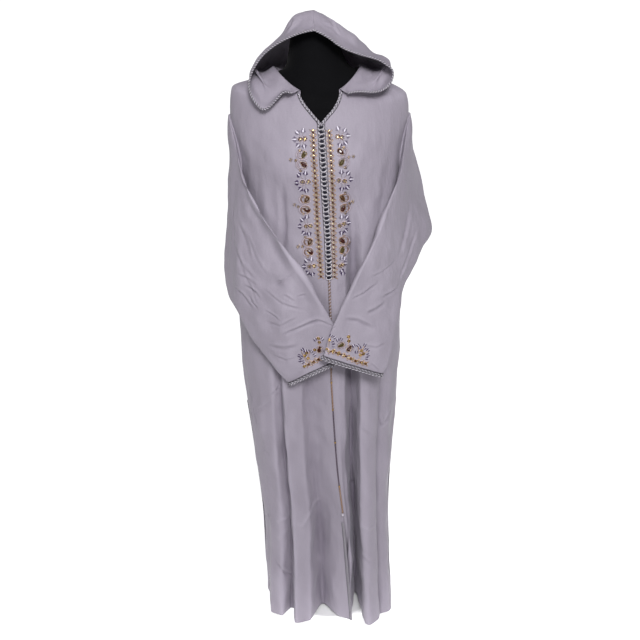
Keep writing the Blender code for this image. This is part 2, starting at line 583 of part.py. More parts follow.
# ---------------------------------------------------------------- hood
def hood_section(side, depth):
    """Control points of the hood from neckline to crown, at a depth from 0 (face) to 1 (back seam)."""
    sign = 1 if side == "left" else -1
    edge = np.stack([column(HOOD_COLUMNS, HOOD_EDGE, f"{side}_{axis}") for axis in "xyz"], axis=1)
    rise = column(HOOD_COLUMNS, HOOD_EDGE, f"{side}_rise")
    back_y, back_z = column(HOOD_COLUMNS, HOOD_EDGE, "back_y"), column(HOOD_COLUMNS, HOOD_EDGE, "back_z")
    swing = np.radians(90 * depth)
    narrow, deep = np.cos(swing) ** 0.72, np.sin(swing) ** 0.9
    middle_x = edge[-1, 0] * (1 - ease(depth))
    points = np.empty_like(edge)
    points[:, 0] = middle_x + (edge[:, 0] - edge[-1, 0]) * narrow + sign * SEAM_GAP / 2
    points[:, 1] = edge[:, 1] + (back_y - edge[:, 1]) * deep
    points[:, 2] = edge[:, 2] + rise * ease(depth / 0.16) + (back_z - edge[:, 2] - rise) * ease(depth)
    first = neck_half_angle(NECKLINE)
    turned = np.array([sign * (first + (180 - first) * depth)])
    for name, (down, clear) in HOOD_FOLLOWS_SHOULDER.items():
        row = list(HOOD_EDGE).index(name)
        over = (body_ring(NECKLINE - down, turned) + body_normal(NECKLINE - down, turned) * clear)[0]
        follows = ease(depth / 0.3) * (1 - ease((depth - 0.8) / 0.2))
        points[row] = points[row] * (1 - follows) + over * follows
    seam = body_ring(NECKLINE, turned)[0]
    upward = unit(seam - body_ring(NECKLINE - 0.05, turned)[0])
    return np.vstack([seam + upward * 1.5 * SEAM_GAP, seam + upward * SEAM_GAP + [0, 0, HOOD_STAND], points])


def hood_grid(side, samples, count_deep=13, count_up=19):
    """Points and normals of one half of the hood: rows from the face edge back, columns upwards."""
    depths = np.linspace(0, 1, count_deep) ** 1.1
    points = []
    for depth in depths:
        section = hood_section(side, depth)
        points.append(np.vstack([section[:1], evenly_along(section[1:], count_up)]))
    points = np.array(points)
    points[:, 2:] = keep_off(points[:, 2:], HOOD_OFF, samples)
    sign = 1 if side == "left" else -1
    points[-1, :, 0] = sign * SEAM_GAP / 2
    normals = -sign * grid_normals(points)
    normals[:, -1, 0] = 0.0
    normals[-1, :, 0] = 0.0
    return points, normals


def make_hood(samples):
    for side in ("right", "left"):
        points, normals = hood_grid(side, samples)
        wall(f"hood_{side}", points, points - normals * CLOTH, "robe_cloth")


# ---------------------------------------------------------------- trims
def rows_between(grid, edge, bottom_z, top_z):
    """The panel's rows between two heights, read from one edge column, with the ends put in."""
    heights = grid[0][:, edge, 2]
    bottom_z, top_z = max(bottom_z, heights[0]), min(top_z, heights[-1])
    inside = heights[(heights > bottom_z + 0.006) & (heights < top_z - 0.006)]
    row = np.interp(np.r_[bottom_z, inside, top_z], heights, np.arange(len(heights)))
    low = np.minimum(row.astype(int), len(heights) - 2)
    share = (row - low)[:, None, None]
    return tuple(part[low] * (1 - share) + part[low + 1] * share for part in grid)


def walk_in(grid, edge, distances):
    """Points and normals of each row at some distances along it from its edge column."""
    points, normals = (part[:, ::-1] if edge == -1 else part for part in grid)
    found_points, found_normals = [], []
    for row, facing in zip(points, normals):
        run = np.r_[0.0, np.cumsum(np.linalg.norm(np.diff(row, axis=0), axis=1))]
        found_points.append([[np.interp(far, run, row[:, axis]) for axis in range(3)] for far in distances])
        found_normals.append([[np.interp(far, run, facing[:, axis]) for axis in range(3)] for far in distances])
    return np.array(found_points), unit(np.array(found_normals))


def edge_column(panel, edge):
    """Which end column of a front panel's grid is its centre edge or its side edge."""
    return {"front_right": {"centre": -1, "side": 0}, "front_left": {"centre": 0, "side": -1}}[panel][edge]


def make_trims(grids):
    for name, (panel, edge, near, far, bottom_z, top_z, thickness, material) in TRIMS.items():
        at = edge_column(panel, edge)
        points, normals = walk_in(rows_between(grids[panel], at, bottom_z, top_z), at, (near, far))
        lying_strip(name, points, normals, thickness, material)


def seam_rows(grids, bottom_z, top_z, reach):
    """Rows across the closed front seam: a little of the right front, the seam, a little of the left."""
    sides = [walk_in(rows_between(grids[panel], at, bottom_z, top_z), at, (reach, 0.0))
             for panel, at in (("front_right", -1), ("front_left", 0))]
    (right, right_normal), (left, left_normal) = sides
    middle, middle_normal = (right[:, 1:] + left[:, 1:]) / 2, unit(right_normal[:, 1:] + left_normal[:, 1:])
    return (np.concatenate([right[:, :1], middle, left[:, :1]], axis=1),
            np.concatenate([right_normal[:, :1], middle_normal, left_normal[:, :1]], axis=1))


def make_front_cord(grids):
    """Braided cord down the closed front, from the last button to the top of the slit, and its end bead."""
    bottom_z = FRONT_SLIT_TOP + 0.014
    points, normals = seam_rows(grids, bottom_z, BUTTON_END_Z - 0.008, FRONT_CORD_HALF_WIDTH)
    lying_strip("front_cord", points + normals * FRONT_CORD_CLEAR, normals, FRONT_CORD_THICKNESS, "bead_trim")
    bead_top = CORD_BEAD_RADIUS * np.sin(np.radians(54))
    end = points[0, 1] + normals[0, 1] * (CORD_BEAD_RADIUS + 0.0010) - [0, 0, bead_top + SEAM_GAP]
    rounded_bead("cord_end_bead", end, [CORD_BEAD_RADIUS] * 3, "buttons")


def rounded_bead(name, centre, radii, material, around=6, rows=4):
    """A small ellipsoid. radii run across, outwards and up."""
    turn = np.arange(around) * 2 * np.pi / around
    rings = []
    for lean in np.linspace(-np.pi / 2, np.pi / 2, rows + 2)[1:-1]:
        ring = np.stack([np.cos(lean) * np.sin(turn) * radii[0], -np.cos(lean) * np.cos(turn) * radii[1],
                         np.full(around, np.sin(lean) * radii[2])], axis=1)
        rings.append(centre + ring)
    stack(name, rings, material)


def make_buttons(grids):
    points, normals = seam_rows(grids, BUTTON_END_Z, BUTTON_TOP_Z, 0.001)
    heights = points[:, 1, 2]
    for number, height in enumerate(np.linspace(BUTTON_TOP_Z, BUTTON_END_Z, BUTTONS), start=1):
        seam = [np.interp(height, heights, points[:, 1, axis]) for axis in range(3)]
        out = unit(np.array([np.interp(height, heights, normals[:, 1, axis]) for axis in range(3)]))
        stands_off = TRIM_LIFT + TRIMS["front_braid_right"][6] + BUTTON_CLEAR + BUTTON_DEPTH / 2
        rounded_bead(f"button_{number:02d}", seam + out * stands_off,
                     [BUTTON_WIDTH / 2, BUTTON_DEPTH / 2, BUTTON_HEIGHT / 2], "buttons")


def make_hood_cords(samples):
    """The twisted cord along the hood's face edge, one half each side."""
    for side in ("right", "left"):
        points, _ = hood_grid(side, samples)
        edge, behind = points[0, 2:], points[1, 2:]
        forward = unit(edge - behind)
        centre = edge + forward * (HOOD_CORD_RADIUS + SEAM_GAP)
        along = unit(np.gradient(centre, axis=0))
        across = unit(np.cross(along, forward))
        turn = np.radians(np.arange(6) * 60)
        rings = [middle + HOOD_CORD_RADIUS * (np.cos(turn)[:, None] * face + np.sin(turn)[:, None] * flat)
                 for middle, face, flat in zip(centre, forward, across)]
        inset = (1 if side == "left" else -1) * SEAM_GAP / 2
        rings[-1][:, 0] = inset
        stack(f"hood_cord_{side}", rings, "braid")


# ---------------------------------------------------------------- dress form and its stand
def form_ring(row, around):
    value = dict(zip(FORM_COLUMNS, row))
    value.update(squareness=2.1, lean=0.0)
    return section_ring(value, around)


def make_form(count=26):
    around = np.arange(count) * 360 / count
    rings = [form_ring(row, around) for row in FORM_TORSO.values()]
    rings += [plain_ring(level, around) - body_normal(level, around) * (CLOTH + REST_GAP)
              for level in FORM_SHOULDER_LEVELS]
    rings += [form_ring(row, around) for row in FORM_NECK.values()]
    stack("dress_form", rings, "form_cover")


def turned_rings(profile, steps):
    """Rings of a round solid, from a profile of (radius, height)."""
    around = np.arange(steps) * 2 * np.pi / steps
    return [np.stack([radius * np.sin(around), -radius * np.cos(around), np.full(steps, height)], axis=1)
            for radius, height in profile]


def make_stand():
    top, collar = FOOT_THICKNESS, FOOT_THICKNESS + 0.020
    stack("stand_foot", turned_rings([(FOOT_RADIUS, 0.0), (FOOT_RADIUS, top - 0.004), (FOOT_RADIUS - 0.004, top),
                                      (0.030, top + 0.003), (0.026, collar - 0.003), (0.024, collar)], 40),
          "steel")
    stack("stand_pole", turned_rings([(POLE_RADIUS, collar + SEAM_GAP), (POLE_RADIUS, POLE_TOP)], 20), "steel")


def main():
    samples = sample_body()
    grids = make_panels()
    make_sleeves(samples)
    make_hood(samples)
    make_hood_cords(samples)
    make_trims(grids)
    make_front_cord(grids)
    make_buttons(grids)
    make_form()
    make_stand()


COLLECTION = "djellaba_on_dress_form"
for old in list(bpy.data.objects):
    bpy.data.objects.remove(old)
bpy.context.scene.collection.children.link(bpy.data.collections.new(COLLECTION))
for material_name, (colour, roughness, metallic) in MATERIALS.items():
    made = bpy.data.materials.new(material_name)
    made.use_nodes = True
    shader = made.node_tree.nodes["Principled BSDF"]
    shader.inputs["Base Color"].default_value = (*colour, 1)
    shader.inputs["Roughness"].default_value = roughness
    shader.inputs["Metallic"].default_value = metallic
main()
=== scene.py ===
# Lilac hooded djellaba on a black dress form that stands on a pole and a round foot.
# Metres, +Z up. The wearer faces -Y, so the wearer's left side is +X.
import bmesh
import bpy
import numpy as np
from mathutils import Matrix, Vector
from mathutils.bvhtree import BVHTree


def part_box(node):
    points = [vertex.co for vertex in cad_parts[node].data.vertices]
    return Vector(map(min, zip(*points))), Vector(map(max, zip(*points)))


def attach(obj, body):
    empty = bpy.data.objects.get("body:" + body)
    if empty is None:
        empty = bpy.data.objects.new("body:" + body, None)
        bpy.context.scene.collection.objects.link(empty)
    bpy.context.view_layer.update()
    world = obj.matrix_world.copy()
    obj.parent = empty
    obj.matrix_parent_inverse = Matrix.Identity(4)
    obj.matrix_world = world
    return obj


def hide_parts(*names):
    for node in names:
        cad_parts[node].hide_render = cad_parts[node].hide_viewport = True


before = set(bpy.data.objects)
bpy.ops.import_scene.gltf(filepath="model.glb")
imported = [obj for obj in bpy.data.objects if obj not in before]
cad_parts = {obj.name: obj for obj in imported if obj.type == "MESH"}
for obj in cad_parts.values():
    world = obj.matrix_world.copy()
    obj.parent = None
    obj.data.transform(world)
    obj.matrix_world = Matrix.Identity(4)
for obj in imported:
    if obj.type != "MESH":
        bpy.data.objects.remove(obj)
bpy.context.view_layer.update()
print("frame loaded:", len(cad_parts), "CAD nodes")

# camera, light and floor first
studio = {
    "cameraPlace": (-0.0115, -1.80, 1.44), "pitchDown": 18.2, "roll": -1.6,
    "focalPixels": 715, "framePixels": 640, "sensor": 36.0,
    "worldColour": (1.0, 1.0, 1.0), "backdrop": 1.1, "worldStrength": 0.25,
    "floorFrom": (-14.0, -0.36), "floorTo": (14.0, 14.0), "floorColour": (0.92, 0.92, 0.92),
    "floorGlow": 0.86, "floorRoughness": 0.9,
    "sun": {"from": (0.28, -1.0, 0.86), "strength": 0.66, "spread": 26.0},
    # place, aim, size, watts
    "lamps": {
        "keySoftbox": ((0.25, -2.4, 2.5), (0.0, 0.0, 1.1), 0.8, 60),
        "lowSoftbox": ((-0.5, -2.4, 0.7), (0.0, 0.0, 1.4), 1.2, 16),
    },
}


def linked(name, data):
    made = bpy.data.objects.new(name, data)
    bpy.context.scene.collection.objects.link(made)
    return made


def aimed(vector):
    return vector.to_track_quat("-Z", "Y").to_euler()


def setStage():
    scene = bpy.context.scene
    scene.view_settings.view_transform = "Standard"
    world = bpy.data.worlds.new("studioWorld")
    world.use_nodes = True
    backdrop = world.node_tree.nodes["Background"]
    backdrop.inputs["Color"].default_value = (*studio["worldColour"], 1)
    seen = world.node_tree.nodes.new("ShaderNodeLightPath")
    bright = world.node_tree.nodes.new("ShaderNodeMapRange")
    bright.inputs["To Min"].default_value = studio["worldStrength"]
    bright.inputs["To Max"].default_value = studio["backdrop"]
    world.node_tree.links.new(seen.outputs["Is Camera Ray"], bright.inputs["Value"])
    world.node_tree.links.new(bright.outputs["Result"], backdrop.inputs["Strength"])
    scene.world = world
    sun = bpy.data.lights.new("keySun", "SUN")
    sun.energy, sun.angle = studio["sun"]["strength"], np.radians(studio["sun"]["spread"])
    linked("keySun", sun).rotation_euler = aimed(-Vector(studio["sun"]["from"]))
    for name, (place, aim, size, watts) in studio["lamps"].items():
        lamp = bpy.data.lights.new(name, "AREA")
        lamp.shape, lamp.size, lamp.energy = "DISK", size, watts
        holder = linked(name, lamp)
        holder.location, holder.rotation_euler = place, aimed(Vector(aim) - Vector(place))
    lens = bpy.data.cameras.new("studioCamera")
    lens.sensor_width = studio["sensor"]
    lens.lens = studio["sensor"] * studio["focalPixels"] / studio["framePixels"]
    camera = linked("studioCamera", lens)
    pitch, roll = np.radians(90 - studio["pitchDown"]), np.radians(studio["roll"])
    camera.matrix_world = (Matrix.Translation(studio["cameraPlace"])
                           @ Matrix.Rotation(pitch, 4, "X") @ Matrix.Rotation(roll, 4, "Z"))
    scene.camera = camera
    (left, near), (right, far) = studio["floorFrom"], studio["floorTo"]
    mesh = bpy.data.meshes.new("studioFloor")
    mesh.from_pydata([(left, near, 0), (right, near, 0), (right, far, 0), (left, far, 0)], [], [(0, 1, 2, 3)])
    floor = linked("studioFloor", mesh)
    paint = bpy.data.materials.new("floorPaint")
    paint.use_nodes = True
    shader = paint.node_tree.nodes["Principled BSDF"]
    colour = (*studio["floorColour"], 1)
    for socket, value in (("Base Color", colour), ("Roughness", studio["floorRoughness"]),
                          ("Emission Color", colour), ("Emission Strength", studio["floorGlow"])):
        shader.inputs[socket].default_value = value
    mesh.materials.append(paint)


setStage()
print("stage set")


def addNode(tree, kind, settings, inputs):
    made = tree.nodes.new(kind)
    for key, value in settings.items():
        setattr(made, key, value)
    for socket, value in inputs.items():
        if isinstance(value, bpy.types.NodeSocket):
            tree.links.new(value, made.inputs[socket])
        else:
            made.inputs[socket].default_value = value
    return made


# materials
class Wire:
    # one output socket; sums with it add Math nodes
    def __init__(self, finish, socket):
        self.finish, self.socket = finish, socket

    def maths(self, operation, *values):
        return self.finish.node("ShaderNodeMath", {"operation": operation}, dict(enumerate(values)))

    def __add__(self, other):
        return self.maths("ADD", self, other)

    def __radd__(self, other):
        return self.maths("ADD", other, self)

    def __sub__(self, other):
        return self.maths("SUBTRACT", self, other)

    def __rsub__(self, other):
        return self.maths("SUBTRACT", other, self)

    def __mul__(self, other):
        return self.maths("MULTIPLY", self, other)

    def __rmul__(self, other):
        return self.maths("MULTIPLY", other, self)

    def sine(self):
        return self.maths("SINE", self)

    def clamped(self):
        return self.finish.node("ShaderNodeClamp", {}, {"Value": self})


class Finish:
    # one material: constants go on the shader's own sockets, wires feed what varies
    def __init__(self, name, colour, roughness, **constants):
        self.material = bpy.data.materials.new(name)
        self.material.use_nodes = True
        self.tree = self.material.node_tree
        self.shader = self.tree.nodes["Principled BSDF"]
        self.shader.inputs["Base Color"].default_value = (*colour, 1)
        self.shader.inputs["Roughness"].default_value = roughness
        for socket, value in constants.items():
            self.shader.inputs[socket.replace("_", " ")].default_value = value

    def node(self, kind, settings, inputs, output=0):
        inputs = {key: value.socket if isinstance(value, Wire) else value for key, value in inputs.items()}
        return Wire(self, addNode(self.tree, kind, settings, inputs).outputs[output])

    def place(self):
        return self.node("ShaderNodeTexCoord", {}, {}, "Object")

    def cut(self):
        return self.node("ShaderNodeUVMap", {"uv_map": "cut"}, {})

    def axis(self, vector, name):
        return self.node("ShaderNodeSeparateXYZ", {}, {0: vector}, name)

    def noise(self, where, scale, detail=2.0, stretch=(1, 1, 1)):
        moved = self.node("ShaderNodeMapping", {}, {"Vector": where, "Scale": stretch})
        return self.node("ShaderNodeTexNoise", {}, {"Vector": moved, "Scale": scale, "Detail": detail}, "Fac")

    def attribute(self, name):
        return self.node("ShaderNodeAttribute", {"attribute_name": name}, {}, "Fac")

    def blend(self, share, first, second):
        first, second = ((*c, 1) if isinstance(c, tuple) else c for c in (first, second))
        return self.node("ShaderNodeMix", {"data_type": "RGBA"}, {0: share, 6: first, 7: second}, 2)

    def feed(self, socket, wire):
        self.tree.links.new(wire.socket, self.shader.inputs[socket])

    def bump(self, height, strength, distance, under=None):
        inputs = {"Strength": strength, "Distance": distance, "Height": height}
        if under is not None:
            inputs["Normal"] = under
        return self.node("ShaderNodeBump", {}, inputs)


clothLook = {
    "colour": (0.276, 0.248, 0.300), "light": (0.330, 0.300, 0.358), "shade": (0.214, 0.190, 0.232),
    # the two colours on the next line are painted shade in the cloth's hollows and a painted highlight on its
    # raised folds
    "valley": (0.120, 0.102, 0.136), "paintedCrestHighlight": (0.360, 0.326, 0.394), "rib": 0.0011, "thread": 0.00045,
    "dipDepth": 0.0042, "dipFrom": 0.22, "dipShare": 0.65, "roughness": (0.56, 0.14),
    # scale, detail and stretch of each noise; those of the weave lie on the flat cut
    "noises": {"mottle": (7.0, 3.0, (1, 1, 1)), "creased": (26.0, 3.0, (1.0, 1.0, 0.45)),
               "crumple": (9.0, 2.0, (1.0, 1.0, 0.6))},
    "weaveNoises": {"slub": (60.0, 2.0, (1, 9, 1)), "grain": (420.0, 1.0, (1, 1, 1)),
                    "crepe": (900.0, 2.0, (1, 1, 1))},
    # strength and height of each bump, in metres
    "bumps": {"crushed": (0.8, 0.0035), "soft": (0.9, 0.0055), "weave": (0.35, 0.00012)},
}


def clothFinish():
    look = clothLook
    cloth = Finish("lilacCrepe", look["colour"], 0.62, Sheen_Weight=0.12, Sheen_Roughness=0.4,
                   Sheen_Tint=(0.92, 0.90, 1.0, 1.0), Specular_IOR_Level=0.3)
    where, cut = cloth.place(), cloth.cut()
    field = {}
    for on, table in ((where, look["noises"]), (cut, look["weaveNoises"])):
        for name, (scale, detail, stretch) in table.items():
            field[name] = cloth.noise(on, scale, detail, stretch=stretch)
    flecks = (field["grain"] - 0.5) * 0.9
    tone = cloth.blend((field["mottle"] + flecks).clamped(), look["shade"], look["light"])
    mixed = cloth.blend((field["slub"] * 0.5).clamped(), tone, look["colour"])
    # painted shade in the hollows and painted highlight on the raised folds, both read from the dip attribute
    dip = cloth.attribute("dip") * (1 / look["dipDepth"])
    valley = cloth.blend((dip - look["dipFrom"]).clamped() * look["dipShare"], mixed, look["valley"])
    paintedCrestHighlight = (dip * -1 - look["dipFrom"]).clamped() * look["dipShare"]
    cloth.feed("Base Color", cloth.blend(paintedCrestHighlight, valley, look["paintedCrestHighlight"]))
    least, more = look["roughness"]
    cloth.feed("Roughness", least + more * field["slub"])
    across, along = cloth.axis(cut, "X"), cloth.axis(cut, "Y")
    twill = ((across + along) * (2 * np.pi / look["rib"])).sine()
    weft = (along * (2 * np.pi / look["thread"])).sine()
    crumple = ((field["crumple"] - 0.5).maths("ABSOLUTE") * 5).clamped()
    crushed = cloth.bump(crumple, *look["bumps"]["crushed"])
    soft = cloth.bump(field["creased"], *look["bumps"]["soft"], crushed)
    weave = twill * 0.35 + weft * 0.2 + field["crepe"] * 0.8
    cloth.feed("Normal", cloth.bump(weave, *look["bumps"]["weave"], soft))
    return cloth.material


def threadFinish(name, dark, light, roughness=0.38, metallic=0.15, sheen=0.2, gloss=0.5):
    thread = Finish(name, light, roughness, Metallic=metallic, Sheen_Weight=sheen, Sheen_Roughness=0.4,
                    Specular_IOR_Level=gloss)
    shade = thread.attribute("shade")
    fibre = thread.noise(thread.place(), 2400.0, 1.0)
    thread.feed("Base Color", thread.blend((shade + (fibre - 0.5) * 0.35).clamped(), dark, light))
    thread.feed("Roughness", roughness + 0.12 * (1 - shade))
    thread.feed("Normal", thread.bump(fibre, 0.4, 0.0002))
    return thread.material


def beadFinish(name, dark, light, roughness, metallic=1.0, coat=0.0):
    bead = Finish(name, light, roughness, Metallic=metallic, Coat_Weight=coat, Coat_Roughness=0.05)
    shade = bead.attribute("shade")
    worn = bead.noise(bead.place(), 700.0, 2.0)
    bead.feed("Base Color", bead.blend(shade, dark, light))
    bead.feed("Roughness", roughness + 0.15 * worn)
    return bead.material


def stoneFinish(name, deep, glow):
    stone = Finish(name, deep, 0.16, Coat_Weight=0.25, Coat_Roughness=0.05, Specular_IOR_Level=0.3)
    shade = stone.attribute("shade")
    cloudy = stone.noise(stone.place(), 420.0, 2.0)
    # the glow colour is painted light seen through the stone, spread in random cloudy patches
    stone.feed("Base Color", stone.blend((shade * 0.7 + (cloudy - 0.4) * 0.5).clamped(), deep, glow))
    return stone.material


def jerseyFinish():
    jersey = Finish("blackJersey", (0.005, 0.005, 0.007), 0.88, Sheen_Weight=0.03, Sheen_Roughness=0.5,
                    Specular_IOR_Level=0.06)
    where = jersey.place()
    lint = jersey.noise(where, 30.0, 4.0)
    wales, courses = ((jersey.axis(where, axis) * (2 * np.pi / step)).sine()
                      for axis, step in (("X", 0.0013), ("Z", 0.0016)))
    jersey.feed("Base Color", jersey.blend(lint, (0.0015, 0.0015, 0.0020), (0.004, 0.004, 0.005)))
    jersey.feed("Roughness", 0.76 + 0.12 * lint)
    jersey.feed("Normal", jersey.bump(courses * wales, 0.35, 0.0003))
    return jersey.material


def steelFinish():
    steel = Finish("paleSteel", (0.62, 0.62, 0.63), 0.34, Coat_Weight=0.4, Coat_Roughness=0.12)
    where = steel.place()
    rubbed = steel.noise(where, 18.0, 5.0)
    grain = steel.noise(where, 900.0, 2.0)
    steel.feed("Base Color", steel.blend(rubbed, (0.76, 0.76, 0.77), (0.84, 0.84, 0.85)))
    steel.feed("Roughness", 0.26 + 0.2 * rubbed)
    steel.feed("Normal", steel.bump(grain, 0.15, 0.0002))
    return steel.material


finishes = {
    "cloth": clothFinish(),
    "silverThread": threadFinish("silverLilacThread", (0.040, 0.035, 0.046), (0.50, 0.47, 0.53)),
    "paleThread": threadFinish("paleThread", (0.12, 0.11, 0.13), (0.68, 0.64, 0.70)),
    "plumThread": threadFinish("plumThread", (0.022, 0.014, 0.022), (0.20, 0.15, 0.20), 0.5, 0.0, 0.0, 0.3),
    "goldThread": threadFinish("goldThread", (0.14, 0.055, 0.020), (0.72, 0.55, 0.44), 0.36, 0.1),
    "satinThread": threadFinish("satinThread", (0.24, 0.215, 0.26), (0.44, 0.41, 0.47), 0.4, 0.05),
    "knotThread": threadFinish("slateThread", (0.006, 0.006, 0.010),
                               (0.030, 0.027, 0.042), 0.55, 0.0, 0.0, 0.12),
    "cordThread": threadFinish("goldLilacThread", (0.15, 0.075, 0.032), (0.36, 0.31, 0.35), 0.4, 0.15),
    "leafThread": threadFinish("leafThread", (0.035, 0.012, 0.065), (0.86, 0.82, 0.91), 0.4, 0.0, 0.0, 0.3),
    "scrollThread": threadFinish("scrollThread", (0.070, 0.026, 0.016),
                                 (0.60, 0.51, 0.58), 0.4, 0.0, 0.0, 0.3),
    "gold": beadFinish("goldBeads", (0.085, 0.030, 0.010), (0.62, 0.40, 0.12), 0.24),
    "crystal": beadFinish("crystalStones", (0.13, 0.055, 0.014), (0.66, 0.50, 0.22), 0.14, 0.7, 0.5),
    "wine": stoneFinish("wineStone", (0.014, 0.003, 0.002), (0.080, 0.018, 0.009)),
    "olive": stoneFinish("oliveStone", (0.015, 0.010, 0.002), (0.12, 0.085, 0.022)),
    "amber": stoneFinish("amberStone", (0.018, 0.007, 0.002), (0.12, 0.050, 0.012)),
    "jersey": jerseyFinish(),
    "steel": steelFinish(),
}
print("materials made")


# curves and tables
def ease(value):
    value = np.clip(value, 0.0, 1.0)
    return value * value * (3 - 2 * value)


def unit(vectors):
    return vectors / np.maximum(np.linalg.norm(vectors, axis=-1, keepdims=True), 1e-12)


def direction(degrees):
    return np.array([np.cos(np.radians(degrees)), np.sin(np.radians(degrees))])


def runs(points, axis=0):
    # length from the start to each point, along one axis of a line or grid
    steps = np.cumsum(np.linalg.norm(np.diff(points, axis=axis), axis=-1), axis=axis)
    return np.concatenate([np.zeros_like(steps.take([0], axis)), steps], axis)


def read(wanted, run, rows):
    # rows of values read at lengths along a line
    return np.stack([np.interp(wanted, run, column) for column in np.asarray(rows).T], axis=-1)


def through(places, values, at):
    # smooth curve through rows of values that never swings past a row
    places, values = np.asarray(places, float), np.asarray(values, float)
    at = np.clip(np.asarray(at, float), places[0], places[-1])
    flat = values.ndim == 1
    values = values.reshape(len(places), -1)
    step = np.diff(places)[:, None]
    slope = np.diff(values, axis=0) / step
    before, after = slope[:-1], slope[1:]
    sameWay = before * after > 0
    first, second = 2 * step[1:] + step[:-1], step[1:] + 2 * step[:-1]
    mean = (first + second) / (first / np.where(sameWay, before, 1.0)
                               + second / np.where(sameWay, after, 1.0))
    tangent = np.vstack([slope[:1], np.where(sameWay, mean, 0.0), slope[-1:]])
    result = hermite(places, values, tangent, at)
    return result[..., 0] if flat else result


def hermite(places, values, tangent, at):
    row = np.clip(np.searchsorted(places, at, side="right") - 1, 0, len(places) - 2)
    width = np.diff(places)[row]
    share = (at - places[row]) / width
    shape = share.shape + (1,) * (values.ndim - 1)
    share, width = share.reshape(shape), width.reshape(shape)
    return ((1 + 2 * share) * (1 - share) ** 2 * values[row] + share * (1 - share) ** 2 * width * tangent[row]
            + share ** 2 * (3 - 2 * share) * values[row + 1]
            + share ** 2 * (share - 1) * width * tangent[row + 1])


def pick(columns, rows, name):
    return np.array([row[columns.index(name)] for row in rows.values()], float)


def refine(points, count, closed=False):
    # more rows on a smooth surface through the rows given
    turns = len(points)
    if closed:
        points = np.concatenate([points[-3:], points, points[:4]])
    gap = np.linalg.norm(np.diff(points, axis=0), axis=-1)
    gap = gap.reshape(len(gap), -1).mean(axis=1)
    chord = np.r_[0.0, np.cumsum(gap)]
    tangent = np.gradient(points, chord, axis=0)
    if closed:
        at = np.linspace(chord[3], chord[3 + turns], count, endpoint=False)
    else:
        at = np.linspace(chord[0], chord[-1], count)
    return hermite(chord, points, tangent, at)


def gridNormals(points, closed=False):
    along = np.gradient(points, axis=0)
    if closed:
        about = np.roll(points, -1, axis=1) - np.roll(points, 1, axis=1)
    else:
        about = np.gradient(points, axis=1)
    return unit(np.cross(about, along))


# the robe's body, from the hem to the neckline
cloth = {"wall": 0.0012, "seamGap": 0.0003, "hemZ": 0.025, "foldTopZ": 1.23, "frontSlitTop": 0.352,
         "sideSlitTop": 0.300, "neckHalf": 0.045, "armholeAngle": 20.0}
bodyColumns = ("sideZ", "frontZ", "backZ", "halfWidth", "frontDepth", "backDepth", "squareness", "middleX",
               "seamX", "lean")
bodySections = {
    "hem": (0.025, 0.025, 0.025, 0.168, 0.135, 0.125, 2.15, -0.008, 0.000, 0.000),
    "shin": (0.300, 0.300, 0.300, 0.170, 0.141, 0.128, 2.15, -0.014, 0.010, 0.000),
    "knee": (0.520, 0.520, 0.520, 0.185, 0.147, 0.132, 2.15, -0.015, 0.004, 0.000),
    "thigh": (0.720, 0.720, 0.720, 0.203, 0.151, 0.136, 2.15, -0.015, 0.006, 0.000),
    "hip": (0.900, 0.900, 0.900, 0.208, 0.150, 0.136, 2.15, -0.012, 0.013, 0.000),
    "waist": (1.060, 1.060, 1.060, 0.205, 0.143, 0.128, 2.15, -0.006, 0.013, 0.000),
    "underarm": (1.170, 1.165, 1.170, 0.199, 0.143, 0.121, 2.10, -0.002, 0.010, 0.000),
    "bust": (1.265, 1.245, 1.275, 0.200, 0.149, 0.117, 2.05, 0.000, 0.007, 0.000),
    "neckPoint": (1.375, 1.358, 1.375, 0.2155, 0.119, 0.111, 2.00, 0.001, 0.002, 0.018),
    "shoulderTip": (1.427, 1.382, 1.408, 0.2090, 0.110, 0.102, 2.00, 0.002, 0.001, 0.060),
    "midShoulder": (1.455, 1.396, 1.434, 0.152, 0.107, 0.090, 2.00, 0.000, 0.003, 0.030),
    "neckline": (1.475, 1.407, 1.455, 0.104, 0.104, 0.070, 2.00, 0.000, 0.003, 0.000),
}
underarm, neckPoint, neckline = (list(bodySections).index(n) for n in ("underarm", "neckPoint", "neckline"))

